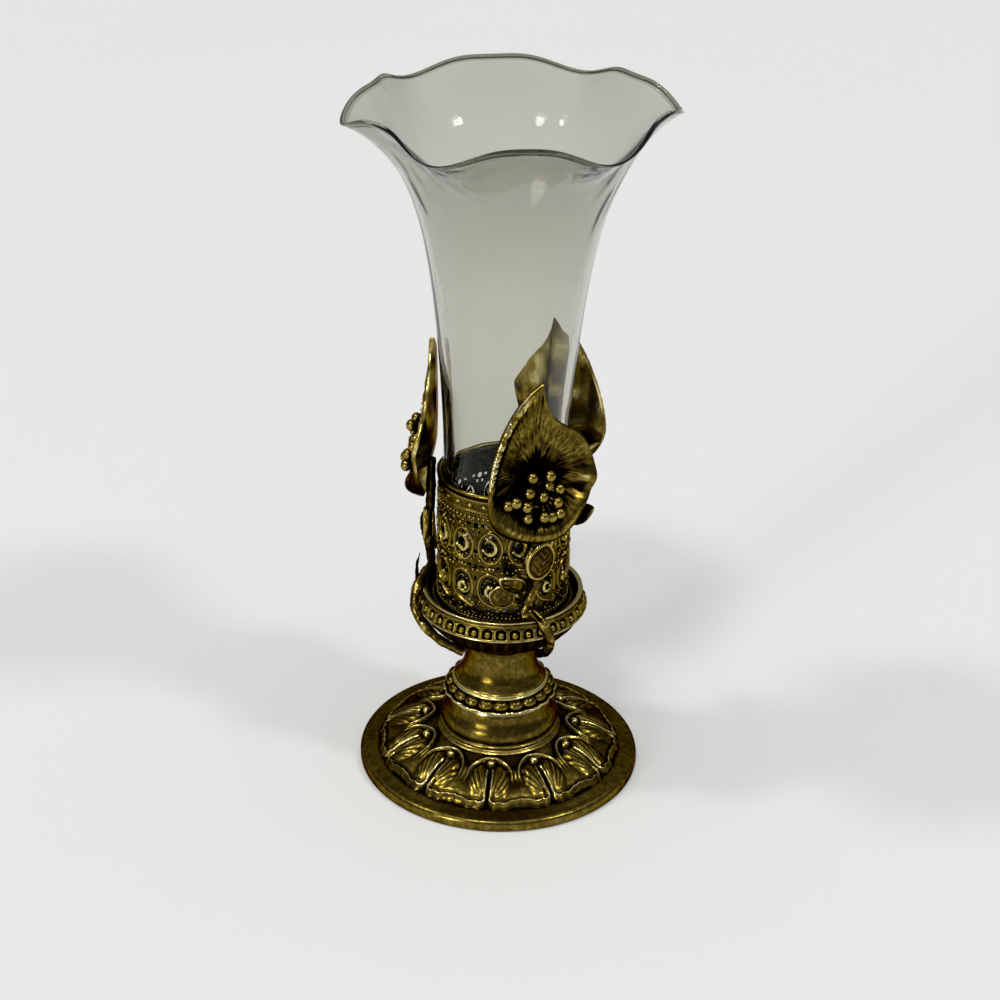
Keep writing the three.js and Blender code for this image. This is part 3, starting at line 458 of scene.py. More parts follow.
bowl_shares = np.linspace(0.03, 1, BOWL_STEPS)
band_heights = np.linspace(BAND_LOW, BAND_LOW + BAND_RISE, BAND_STEPS)
bead_band = np.stack([np.linspace(24.55, 23.45, BAND_STEPS), band_heights], 1)
dish_outline = [(BOLT_BORE, SPOOL_TOP), (11.5, SPOOL_TOP), (11.8, SPOOL_TOP + 0.1)]
bowl_from = len(dish_outline)
band_from = bowl_from + BOWL_STEPS
dish_outline += [tuple(p) for p in np.vstack([dish_bowl(bowl_shares), bead_band])]
dish_outline += [(23.3, 56.45), (23.55, 56.6), (23.62, 56.85), (23.45, 57.1), (23.2, 57.2), (23.2, 57.6)]
dish_outline += [(23.4, 57.7), (23.42, 57.95), (23.2, DISH_RIM), (22.7, 58.12), (22.2, 58.05), (21.8, 57.8)]
dish_outline += [(21.6, 57.3), (21.6, DISH_WELL), (BOLT_BORE, DISH_WELL), (BOLT_BORE, SPOOL_TOP)]
dish = draw_outline("fluted_dish", dish_outline, -GADROON_PITCH / 2)
spin_outline(20, GADROON_PITCH)
points = read_points(dish)
radius, azimuth = polar(points)
line = np.array(dish_outline)
place = np.argmin(np.hypot(radius[:, None] - line[:, 0], points[:, 2][:, None] - line[:, 1]), 1)
on_bowl = (place >= bowl_from) & (place < band_from)
share = np.where(on_bowl, bowl_shares[np.clip(place - bowl_from, 0, BOWL_STEPS - 1)], 0)
on_band = (place >= band_from) & (place < band_from + BAND_STEPS)
level = np.where(on_band, (points[:, 2] - BAND_LOW) / BAND_RISE, -1)
within = (azimuth + GADROON_PITCH / 2) % GADROON_PITCH - GADROON_PITCH / 2
side = np.radians(within) * radius
half_cell = np.radians(GADROON_PITCH / 2) * radius
scoop = np.cos(np.clip(np.abs(side) / half_cell, 0, 1) * math.pi / 2)
flute = -0.6 * scoop ** 1.3 * ease(0.12, 0.3, share) * ease(0.95, 0.88, share)
flute += 0.3 * ease(0.95, 0.98, share)
dome = np.sqrt(np.clip(BEAD_DOME ** 2 - side ** 2 - ((level - 0.42) * BAND_RISE) ** 2, 0, None))
arch_top = 0.22 * (side / 1.4) ** 2
above_edge = ease(0.03, 0.12, level)
cell = ease(1.6, 1.3, np.abs(side)) * above_edge * ease(0.98, 0.86, level + arch_top) * (level >= 0)
bead_line = 0.16 * hump(np.abs(side), 1.66, 0.16) * above_edge * ease(0.95, 0.8, level)
sunk = bead_line - 0.95 * cell
out = flute + np.where(dome > 0, np.maximum(sunk, 1.1 * dome - 0.8), sunk)
mark(dish, "soot", 0.25 * cell * (dome == 0))
slope = np.gradient(line, axis=0)
slope /= np.maximum(np.hypot(*slope.T), 1e-9)[:, None]
out = np.where((share > 0) | (level >= 0), out, 0)
move_points(dish, around(radius + out * slope[place, 1], azimuth, points[:, 2] - out * slope[place, 0]))
copy_round(GADROONS)
to_metres(dish)
rub(dish, 0.6)
dish.data.materials.append(antique_gilt)
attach(dish, "holder")
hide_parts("dish")


# Cup floor. A plain brass disc at the bottom of the cup, left dark, that the filigree is soldered to and the
# glass stands on. The head of the tie bolt bears on it.
dark_gilt = antiqued_gilt(
    "dark tarnished gilt",
    [(0.0, "#030201"), (0.3, "#0e0904"), (0.55, "#2c210b"), (0.78, "#6a5722"), (0.97, "#c2ab5c")],
    rough_worn=0.15, rough_dull=0.34)
cup_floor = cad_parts["cup_floor"]
cup_floor.data.materials.clear()
cup_floor.data.materials.append(dark_gilt)


# Cup wall. Openwork filigree: a thin pierced brass strip with drawn wire rings, comma scrolls and shot
# soldered to it in two rows of fourteen medallions, rolled up into a cylinder, gilded and antiqued.
MEDALLIONS = 14
WALL_RADIUS = 18.85
UNIT = 2 * math.pi * WALL_RADIUS / MEDALLIONS
HALF = UNIT / 2
MEDALLION_AZIMUTH = -11
UPPER, LOWER = 79.4, 66.4
WALL_BOTTOM, WALL_TOP = 56.0, 93.3


def ring_line(centre, half_width, half_height, steps):
    """A medallion's oval, clockwise from its top, drawn in a little towards the top."""
    turn = np.radians(np.linspace(0, 360, steps))[:-1]
    narrow = 1 - 0.12 * np.clip(np.cos(turn), 0, None) ** 2
    return np.stack([half_width * np.sin(turn) * narrow, centre + half_height * np.cos(turn)], 1)


def bend(points):
    """A wire bent smoothly through (across, up) points."""
    return np.array(swept(points, 5))


def drawn_mesh(name, lines, **settings):
    """A curve made into a mesh: each line has its points, its thickness at each, and whether it closes."""
    shape = bpy.data.curves.new(name, "CURVE")
    for setting, value in settings.items():
        setattr(shape, setting, value)
    for line, thick, closes in lines:
        spline = shape.splines.new("POLY")
        spline.points.add(len(line) - 1)
        for point, place, half in zip(spline.points, line, np.broadcast_to(thick, len(line))):
            point.co = (*place, 0, 1) if len(place) == 2 else (*place, 1)
            point.radius = half
        spline.use_cyclic_u = closes
    drawn = bpy.data.objects.new(name, shape)
    bpy.context.scene.collection.objects.link(drawn)
    pick(drawn)
    bpy.ops.object.convert(target="MESH")
    return bpy.context.object


def pierced_strip(outer, holes, thickness):
    """A flat strip with holes cut through it, drawn as a filled outline and given its thickness."""
    lines = [(line, 1, True) for line in [outer] + holes]
    return drawn_mesh("strip", lines, dimensions="2D", fill_mode="BOTH", extrude=thickness / 2)


def soldered_wires(wires, name="wires"):
    """Drawn wires: each a line of points in millimetres, its thickness at each point, and whether it closes."""
    return drawn_mesh(name, wires, dimensions="3D", bevel_depth=1.0, bevel_resolution=1, use_fill_caps=True)


def soldered_shot(balls, segments=8, rings=4):
    """Round shot: each (u, v, out, radius). One ball is modelled and its mesh copied to each place."""
    bpy.ops.mesh.primitive_uv_sphere_add(segments=segments, ring_count=rings, radius=1.0, location=(0, 0, 0))
    ball = bpy.context.object
    edit_all()
    bpy.ops.transform.resize(value=(1, 1, 1.1))
    leave_edit()
    unit_points = read_points(ball)
    faces = [tuple(f.vertices) for f in ball.data.polygons]
    places = np.concatenate([unit_points * b[3] + np.array(b[:3]) for b in balls])
    every = [tuple(i + k * len(unit_points) for i in f) for k in range(len(balls)) for f in faces]
    shot_mesh = bpy.data.meshes.new("shot")
    shot_mesh.from_pydata(places.tolist(), [], every)
    old = ball.data
    ball.data = shot_mesh
    bpy.data.meshes.remove(old)
    return ball


def notch(level, reach, height, side):
    """Half of an opening that straddles two units, cut into the strip's edge. Goes up the edge."""
    turn = np.radians(np.linspace(-90, 90, 9))
    return [(side * (HALF - reach * math.cos(t)), level + height * math.sin(t)) for t in turn]


notches = [(60.4, 1.15, 1.3), (68.6, 0.55, 1.6), (72.8, 1.5, 1.0), (77.4, 0.8, 1.1), (86.0, 0.9, 0.9)]
right = [(HALF, WALL_BOTTOM)] + [p for n in notches for p in notch(*n, 1)] + [(HALF, WALL_TOP)]
left = [(-HALF, WALL_BOTTOM)] + [p for n in notches for p in notch(*n, -1)] + [(-HALF, WALL_TOP)]
holes = [ring_line(UPPER, 2.75, 4.2, 26), ring_line(LOWER, 2.75, 4.0, 26)]
for u, v, half_width, half_height in [
    (2.35, 73.3, 0.75, 0.55), (1.9, 86.2, 0.75, 0.5), (0, 60.3, 1.0, 0.75), (2.3, 59.0, 0.6, 0.6),
    (3.35, 84.2, 0.4, 0.7), (3.5, 63.4, 0.4, 0.8),
]:
    turn = np.radians(np.linspace(0, 360, 12, endpoint=False))
    for side in (-1, 1) if u else (1,):
        holes.append(np.stack([side * u + half_width * np.sin(turn), v + half_height * np.cos(turn)], 1))
STRIP = 0.55
strip = pierced_strip(right + left[::-1], holes, STRIP)
for cut in np.linspace(-HALF, HALF, 8)[1:-1]:
    edit_all()
    bpy.ops.mesh.bisect(plane_co=(cut, 75, 0), plane_no=(1, 0, 0))
leave_edit()

wires = [
    (ring_line(UPPER, 3.35, 4.85, 33), 0.44, True),
    (ring_line(UPPER, 2.78, 4.2, 27), 0.17, True),
    (bend([(3.2, 63.6), (3.4, 66.6), (2.5, 69.8), (0.0, 71.2), (-2.5, 69.8), (-3.4, 66.4), (-2.7, 63.4),
           (-0.8, 61.7), (1.6, 60.7), (3.3, 60.3), (3.9, 61.1), (3.3, 61.6)]), 0.42, False),
    (bend([(2.6, 64.6), (2.75, 67.0), (1.9, 69.4), (0.0, 70.4), (-1.9, 69.4), (-2.75, 66.6), (-2.1, 63.9),
           (-0.3, 62.4), (1.8, 61.6)]), 0.16, False),
    (bend(raised(UPPER, [(-1.5, 1.2), (-1.0, 2.2), (0.3, 2.4), (1.4, 1.2), (1.45, -0.7), (0.2, -1.9), (-1.2, -1.5),
                         (-1.9, -0.8)])),
     np.interp(np.linspace(0, 1, 36), [0, 0.2, 0.5, 0.75, 1], [0.28, 0.5, 0.78, 0.68, 0.36]), False),
    (bend(raised(UPPER, [(-0.4, 3.1), (-0.9, 3.6), (-0.2, 4.2)])), 0.2, False),
    (bend(raised(LOWER, [(1.2, -0.9), (0.7, 0.2), (-0.2, 0.5), (-0.9, -0.2), (-0.8, -1.5), (0.3, -2.3), (1.7, -1.9),
                         (2.3, -0.6), (2.0, 1.0)])),
     np.interp(np.linspace(0, 1, 41), [0, 0.2, 0.45, 0.8, 1], [0.35, 0.62, 0.8, 0.4, 0.25]), False),
    (bend(raised(LOWER, [(-1.6, 1.6), (-0.8, 2.7), (0.6, 2.6)])), 0.24, False),
]
for side in (-1, 1):
    for thick, line in [
        (0.22, [(3.95, 83.6), (3.7, 81.8), (4.1, 80.2), (3.75, 78.8)]),
        (0.22, [(1.0, 84.9), (2.1, 85.3), (3.0, 86.6), (2.4, 87.3), (1.6, 87.0)]),
        (0.22, [(0.2, 73.9), (1.4, 74.0), (2.4, 74.3), (3.4, 74.0), (3.6, 73.2), (3.0, 72.7)]),
        (0.2, [(0.3, 58.1), (1.2, 58.3), (1.6, 59.2), (1.1, 59.8), (0.6, 59.4)]),
        (0.2, [(4.1, 58.0), (3.2, 58.4), (2.9, 59.4), (3.6, 59.9)]),
        (0.2, [(3.9, 70.9), (3.6, 69.4), (4.05, 67.6), (3.8, 65.6)]),
    ]:
        wires.append((bend([(side * u, v) for u, v in line]), thick, False))
for level, thick in [(92.95, 0.25), (90.15, 0.36), (87.55, 0.2), (56.35, 0.3)]:
    across = np.linspace(-HALF, HALF, 9)
    wires.append((np.stack([across, np.full(9, level)], 1), thick, False))
wire = soldered_wires(wires)
points = read_points(wire)
points[:, 2] = points[:, 2] * 0.8 + 0.3
move_points(wire, points)

balls = []
for count, level, out, half in [(6, 88.35, 0.3, 0.46), (10, 89.45, 0.3, 0.28), (10, 90.85, 0.3, 0.26),
                                (7, 57.25, 0.32, 0.44)]:
    balls += [(HALF * (2 * (i + 0.5) / count - 1), level, out, half) for i in range(count)]
for level, shots in [
    (UPPER, [(-0.75, 2.9, 0.35, 0.5), (-1.9, -0.75, 0.4, 0.62), (2.2, 0.5, 0.2, 0.3), (2.2, -0.3, 0.2, 0.3),
             (2.0, 1.4, 0.2, 0.28), (1.2, -2.9, 0.25, 0.42), (-1.3, -3.1, 0.25, 0.42), (0.0, -3.6, 0.2, 0.34)]),
    (LOWER, [(1.3, -0.8, 0.4, 0.6), (-1.7, -2.4, 0.25, 0.38), (1.5, 2.2, 0.25, 0.4), (-1.9, 0.6, 0.2, 0.3)]),
]:
    balls += [(u, level + v, out, half) for u, v, out, half in shots]
for side in (-1, 1):
    balls += [(side * u, v, 0.3, half) for u, v, half in [
        (3.75, 77.1, 0.44), (3.0, 75.2, 0.42), (1.1, 72.9, 0.46), (3.5, 72.1, 0.46), (1.9, 71.9, 0.38),
        (3.4, 84.9, 0.4), (0.9, 85.9, 0.42), (2.7, 62.1, 0.42), (2.1, 58.0, 0.34), (3.5, 87.0, 0.34),
        (3.2, 61.4, 0.36)]]
balls += [(0.0, 73.1, 0.35, 0.55), (0.0, 85.0, 0.35, 0.46), (0.0, 58.7, 0.3, 0.44), (0.0, 86.9, 0.3, 0.36)]
shot = soldered_shot(balls)

lozenges = []
for u in (-HALF / 2, HALF / 2):
    bpy.ops.mesh.primitive_circle_add(vertices=4, radius=1.0, fill_type="NGON", location=(0, 0, 0))
    lozenge = bpy.context.object
    edit_all()
    bpy.ops.transform.resize(value=(1.0, 0.75, 1.0))
    bpy.ops.mesh.extrude_region_move(TRANSFORM_OT_translate={"value": (0, 0, 0.22)})
    bpy.ops.mesh.inset(thickness=0.16, depth=0.2)
    bpy.ops.mesh.inset(thickness=0.22, depth=0.1)
    edit_all()
    bpy.ops.transform.translate(value=(u, 91.95, 0.2))
    bpy.ops.mesh.normals_make_consistent(inside=False)
    leave_edit()
    lozenges.append(lozenge)
filigree = join_pieces("filigree_wall", [strip, wire, shot] + lozenges)
points = read_points(filigree)
azimuth = MEDALLION_AZIMUTH + np.degrees(points[:, 0] / WALL_RADIUS)
move_points(filigree, around(WALL_RADIUS - 0.28 + points[:, 2], azimuth, points[:, 1]))
copy_round(MEDALLIONS, weld=False)
to_metres(filigree)
bpy.ops.object.shade_smooth_by_angle(angle=math.radians(50))
out, _ = polar(read_points(filigree) * 1000)
mark(filigree, "wear", 0.14 + 0.26 * ease(18.5, 18.8, out) + 0.42 * ease(18.85, 19.4, out))
filigree.data.materials.append(antique_gilt)
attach(filigree, "holder")
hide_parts("cup_filigree")


# Cup rim band. A plain strip of gilt brass soldered round the top of the filigree, its upper edge rolled
# over. It stiffens the cup and is rubbed bright.
BAND_HEIGHT = 2.4
CUP_TOP = WALL_TOP + BAND_HEIGHT
band_outline = [(18.0, 0), (19.05, 0), (19.2, 0.2), (19.12, 0.5), (19.12, 1.2), (19.3, 1.4), (19.45, 1.7)]
band_outline += [(19.42, 2.05), (19.2, 2.32), (18.9, BAND_HEIGHT), (18.5, 2.36), (18.2, 2.2), (18.0, 1.9)]
band_outline.append(band_outline[0])
band = draw_outline("cup_rim_strip", raised(WALL_TOP, band_outline))
spin_outline(168)
to_metres(band)
mark(band, "wear", rub(band, 0.2, 6) + 0.14)
band.data.materials.append(antique_gilt)
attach(band, "holder")
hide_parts("cup_rim_band")


# Cup base wire. A beaded brass wire laid round the foot of the cup where it meets the dish: fine round
# grains on a drawn core, soldered on and gilded with the cup.
GRAINS = 104
core_outline = [(19.45, 0), (20.5, 0), (20.7, 0.4), (20.5, 0.8), (19.9, 0.95), (19.45, 0.8), (19.45, 0)]
core = draw_outline("milled_wire", raised(DISH_WELL, core_outline))
spin_outline(156)
grain_place = (0, -20.1, DISH_WELL + 0.85)
bpy.ops.mesh.primitive_uv_sphere_add(segments=8, ring_count=6, radius=0.58, location=grain_place)
grain_ball = bpy.context.object
bpy.ops.object.transform_apply(location=True, rotation=False, scale=False)
copy_round(GRAINS)
base_wire = join_pieces("milled_wire", [core, grain_ball])
to_metres(base_wire)
rub(base_wire, 0.25, 6)
base_wire.data.materials.append(antique_gilt)
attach(base_wire, "holder")
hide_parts("cup_base_wire")


# Tie bolt, washer and nut. A slotted steel screw through the whole stand with a washer and a hexagon nut
# under the foot, nickel plated. Plating gives an even grey shine with faint cloudy dulling.
plated_steel, tree = new_material("nickel plated steel")
place = add_node(tree, "TexCoord")
dulling = add_node(tree, "TexNoise", {"Scale": 1 / 0.0012, "Detail": 4.0}, {"Vector": (place, "Object")})
tone = add_node(tree, "ValToRGB", {"stops": [(0, "#77756d"), (1, "#b9b7ae")]}, {"Fac": (dulling, "Fac")})
dull = add_node(tree, "MapRange", {"To Min": 0.22, "To Max": 0.45}, {"Value": (dulling, "Fac")})
nickel = add_node(tree, "BsdfPrincipled", {"Metallic": 1.0}, {"Base Color": (tone, 0), "Roughness": (dull, 0)})
add_node(tree, "OutputMaterial", {}, {"Surface": (nickel, 0)})
for fastener in ("tie_bolt", "foot_washer", "foot_nut"):
    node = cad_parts[fastener]
    node.data.materials.clear()
    node.data.materials.append(plated_steel)


# Flower sprays. Three cast brass sprays, gilded and antiqued. Each has a calla-like flower with a bunch of
# ball-ended stamens, and a thorny twig with three leaves. They are soldered to the cup, and the twigs hook
# over the rim of the dish.
FLOWER_BACK = 19.75
PETAL_WALL = 1.2
HALF_WIDTH = 16.0
LIP = 19.0
HEAD_RADIUS = 1.6
STEM_OUT = 21.25


def bezier(a, b, c, d, steps):
    t = np.linspace(0, 1, steps, endpoint=False)[:, None]
    a, b, c, d = map(np.array, (a, b, c, d))
    return a * (1 - t) ** 3 + 3 * b * t * (1 - t) ** 2 + 3 * c * t ** 2 * (1 - t) + d * t ** 3


def petal_edge(tip, lean, slant, steps):
    """The flower's edge from its tip round by the right: an ogee with a shoulder, a round lip and a plain side."""
    size = np.array([HALF_WIDTH, tip])
    shoulder = 0.48 - 0.13 * slant
    low = np.array([HALF_WIDTH, LIP])
    curve = [
        bezier((0.06, 1), (0.06, 0.8), (0.22 + 0.1 * slant, 0.58 + 0.06 * slant), (0.63, shoulder), steps) * size,
        bezier((0.63, shoulder), (0.82, shoulder - 0.06 - 0.1 * slant), (0.98 - 0.04 * slant, 0.22 - 0.1 * slant),
               (1, 0.03), steps // 2) * size,
        bezier((1, 0.03 * tip / LIP), (1, -0.35), (0.62, -1), (0.1, -1), steps) * low,
        bezier((0.1, -1), (-0.55, -1), (-1, -0.75), (-1, -0.25), steps) * low,
        bezier((-1, -0.25 * LIP / tip), (-1, 0.2), (-0.62, 0.8), (0.06, 1), 2 * steps) * size,
    ]
    edge = np.concatenate(curve)
    edge[:, 0] += lean * ease(0, tip, edge[:, 1])
    return edge


def spun_disc(name, rings, steps):
    """A flat disc of rings, spun from a drawn radius: where each point lies as its share out and its turn."""
    disc = draw_outline(name, [(r, 0.0) for r in np.linspace(0, 1, rings + 1)])
    spin_outline(steps)
    radius, azimuth = polar(read_points(disc))
    return disc, radius, azimuth % 360


def turn_round(places, azimuth):
    """Turns points from azimuth 0 to where they stand round the cup."""
    angle = math.radians(azimuth)
    x, y, z = places.T
    return np.stack([x * math.cos(angle) - y * math.sin(angle), x * math.sin(angle) + y * math.cos(angle), z], 1)


def wobble(places, size, seed):
    """Smooth noise at each point, its bumps about this size."""
    return np.array([noise.noise(Vector(p) / size + Vector((seed, 0, 0))) for p in places])


def give_wall(piece, thickness):
    """Thickens a sheet behind its face with Solidify."""
    pick(piece)
    wall = piece.modifiers.new("wall", "SOLIDIFY")
    wall.thickness = thickness
    wall.offset = -1
    wall.use_even_offset = False
    bpy.ops.object.modifier_apply(modifier="wall")


def face_out(piece, azimuth):
    """Turns a sheet's faces so that its front looks away from the cup."""
    if (read_normals(piece) @ around(1, azimuth, 0)).mean() < 0:
        piece.data.flip_normals()


def make_petal(name, azimuth, throat, tip, lean, slant, folded, flattened, rubbed_and_lit, seed):
    """A beaten bowl of a petal: fine uneven lines run out to a rolled rim, the throat is painted black and ragged
    as shade, its right side folds over and a slit runs in from the left. One side of the rim is painted with a
    highlight."""
    edge = petal_edge(tip, lean, slant, 60)
    petal, share, turn = spun_disc(name, 60, len(edge))
    rim = edge[np.rint(turn / 360 * len(edge)).astype(int) % len(edge)]
    flat = rim * share[:, None]
    length = np.maximum(np.hypot(*rim.T), 1e-6)
    up = rim[:, 1] / length
    right = rim[:, 0] / length
    bearing = np.degrees(np.arctan2(rim[:, 0], rim[:, 1]))
    rays = np.stack([np.sin(np.radians(bearing)) * 9, np.cos(np.radians(bearing)) * 9, share * 1.5], 1)
    lines = wobble(rays, 0.28, seed) + 0.6 * wobble(rays, 0.13, seed + 5)
    ragged = 0.10 * wobble(rays, 0.8, seed + 9) + 0.05 * lines
    lower = ease(0.3, 0.9, -up)
    spoon = (4.8 - 2.5 * up - 1.1 * up ** 2) * share ** 2
    under_roll = np.clip((share - 0.76) / 0.24, 0, 0.98)
    spoon += (3.4 * ease(0.44, 0.76, share) - 8.0 * (1 - np.sqrt(1 - under_roll ** 2))) * lower
    spoon += 0.3 * np.sin(np.radians(bearing) * 2 + seed) * share ** 4
    spoon -= flattened * ease(0.2, 0.9, right) * share ** 2
    fold = hump(bearing, 92, 10) - 0.8 * hump(bearing, 110, 8)
    spoon += folded * fold * ease(0.45, 0.9, share)
    back = FLOWER_BACK + spoon
    slit = hump(bearing, -96, 3.4) * ease(0.5, 0.62, share) * ease(0.9, 0.84, share)
    depth = back + PETAL_WALL - 0.7 * slit
    depth += 0.07 * lines * ease(0.3, 0.5, share + ragged) * ease(0.96, 0.9, share)
    depth -= 0.4 * hump(share, 0.5, 0.1) * ease(-0.2, 0.6, up)
    crumpled = 1 + 0.5 * lines + 1.1 * wobble(rays, 0.5, seed + 7)
    rolled = (0.1 + 0.5 * ease(0.2, -0.5, right * rubbed_and_lit)) * ease(-0.6, 0.2, up) * crumpled
    depth += rolled * hump(share, 0.92, 0.06) - 0.4 * ease(0.97, 1.0, share)
    points = np.stack([flat[:, 0], -depth, throat + flat[:, 1]], 1)
    # Painted shade: the throat is painted black with a ragged edge, and the slit and the lower lip where it curls
    # under are darkened. The fine dark lines are tarnish in the grooves.
    shadowed = np.hypot(flat[:, 0] / 15, (flat[:, 1] + 3.0) / 18)
    throat_shade_and_tarnish = 0.62 * ease(0.66, 0.42, shadowed + 1.6 * ragged) + 0.4 * slit
    throat_shade_and_tarnish += 0.17 * np.clip(-lines, 0, 1) * ease(0.95, 0.7, share)
    throat_shade_and_tarnish += 0.26 * lower * ease(0.5, 0.8, share + ragged)
    move_points(petal, turn_round(points, azimuth))
    face_out(petal, azimuth)
    give_wall(petal, PETAL_WALL)
    both = read_points(petal)
    both[len(points):] = turn_round(np.stack([flat[:, 0], -back, throat + flat[:, 1]], 1), azimuth)
    move_points(petal, both)
    to_metres(petal)
    worn = rub(petal, 0.16, 10)
    # Painted highlight: the rim keeps its rubbed brightness only along the upper part of one side, as a lit edge.
    # Elsewhere the rim is evened to plain ground.
    rim_highlight = ease(0.35, -0.4, right * rubbed_and_lit) * ease(-0.5, 0.3, up)
    rim_highlight *= 0.7 + 0.9 * wobble(rays, 1.3, seed + 3)
    keep = 1 - ease(0.84, 0.92, share) * (1 - 0.9 * np.clip(rim_highlight, 0.08, 1))
    behind = np.clip(0.66 + 0.6 * wobble(points, 5.0, seed), 0, 1)
    mark(petal, "wear", np.concatenate([0.48 + (worn[:len(keep)] - 0.48) * keep, behind]))
    mark(petal, "soot", np.concatenate([np.clip(throat_shade_and_tarnish, 0, 1), np.zeros(len(throat_shade_and_tarnish))]))
    petal.data.materials.append(antique_gilt)
    return petal


anthers = [(-3.4, 2.0), (1.6, 2.1), (1.9, -1.5), (-4.5, -2.1), (-0.2, -4.2), (4.9, -2.9), (-8.6, -4.1)]
anthers += [(-10.4, -5.2), (-5.4, -5.9), (3.7, -6.0), (-5.0, -9.4), (-0.8, -9.0), (2.0, -9.9), (4.4, -9.2)]


def make_stamens(name, azimuth, throat):
    """A domed boss with fine drawn filaments fanned out of it, each with a round cast ball on its end."""
    seat = FLOWER_BACK + PETAL_WALL + 1.2
    centre = throat - 4.0
    boss = draw_outline("boss", [(0, 0)] + swept([(3.1, 0.0), (2.9, 1.1), (1.8, 2.1), (0.0, 2.5)], 4))
    spin_outline(24)
    points = read_points(boss)
    move_points(boss, np.stack([points[:, 0], -seat - points[:, 2], centre + points[:, 1]], 1))
    filaments, heads = [], []
    for k, (u, v) in enumerate(anthers):
        reach = seat + 3.9 + 0.9 * math.sin(k * 2.4) + 0.3 * max(0, -v - 3)
        root = np.array([u * 0.15, -seat - 1.0, centre + v * 0.15])
        head = np.array([u, -reach, throat + v])
        knee = (root + head) / 2 + np.array([0, -0.8, 0.5])
        filaments.append((np.array(swept([root, knee, head], 4)), 0.4, False))
        heads.append((*head, HEAD_RADIUS))
    stalks = soldered_wires(filaments, "stalks")
    round_heads = soldered_shot(heads, 16, 11)
    stamens = join_pieces(name, [boss, stalks, round_heads])
    points = read_points(stamens)
    apart = np.linalg.norm(points[:, None] - np.array(heads)[:, :3], axis=2).min(1)
    move_points(stamens, turn_round(points, azimuth))
    to_metres(stamens)
    mark(stamens, "wear", rub(stamens, 0.9, 8) + 0.06)
    # Painted shade: the boss and stalks, away from the ball heads, are darkened.
    mark(stamens, "soot", 0.36 * ease(HEAD_RADIUS + 0.1, HEAD_RADIUS + 0.4, apart))
    stamens.data.materials.append(antique_gilt)
    return stamens


def make_twig(name, azimuth, top, sweep, seed):
    """A crooked twig with ribbed bark, small knots and thorns, thinning at its end under the dish."""
    def under(share, turn):
        (inner, lower), (out, level) = dish_bowl(np.array([share - 0.1, share]))
        along = Vector((out - inner, level - lower)).normalized() * 1.55
        return around(out + along.y, turn, level - along.x)

    drop = top - DISH_RIM
    path = [around(STEM_OUT, 0, top + 7), around(STEM_OUT, 0, top), around(STEM_OUT, 1, top - 0.15 * drop),
            around(21.55, 5, DISH_RIM + 0.48 * drop), around(21.35, -2, DISH_RIM + 0.24 * drop),
            around(21.55, -6, DISH_RIM + 2.6), around(22.6, 0, DISH_RIM + 2.2),
            around(24.8, sweep * 0.22, DISH_RIM - 0.5), around(26.1, sweep * 0.4, DISH_RIM - 4.6),
            under(0.75, sweep * 0.55), under(0.5, sweep * 0.75), under(0.2, sweep)]
    line = np.array(swept(path, 12))
    run = np.linspace(0, 1, len(line))
    thick = 1.4 + 0.12 * np.sin(run * 37 + seed) + 0.08 * np.sin(run * 71) - 0.2 * ease(0.9, 1, run)
    stems = [(line, thick, False)]
    spike = np.interp(np.linspace(0, 1, 13), [0, 1], [0.75, 0.12])
    half_up = DISH_RIM + 0.5 * drop
    for root, middle, end in [
        (around(24.7, sweep * 0.22, DISH_RIM - 0.3), around(25.4, -2, DISH_RIM + 3.3),
         around(25.1, -7, DISH_RIM + 6.3)),
        (around(21.5, 4, half_up), around(22.8, 9, half_up + 2.1), around(23.5, 11, half_up + 4.1)),
        (under(0.8, sweep * 0.5), under(0.9, sweep * 0.6) * 1.03, under(0.75, sweep * 0.75) * 1.06),
    ]:
        stems.append((np.array(swept([root, middle, end], 6)), spike, False))
    twig = soldered_wires(stems, name)
    edit_all()
    bpy.ops.mesh.subdivide(number_cuts=1, smoothness=1.0)
    leave_edit()
    points = read_points(twig)
    bark = 0.16 * wobble(points, 1.4, seed) + 0.07 * wobble(points, 0.6, seed)
    move_points(twig, turn_round(points + read_normals(twig) * bark[:, None], azimuth))
    to_metres(twig)
    mark(twig, "wear", rub(twig, 0.3, 6) + 0.2 - 0.26 * ease(0.064, 0.072, read_points(twig)[:, 2]))
    twig.data.materials.append(dark_gilt)
    return twig


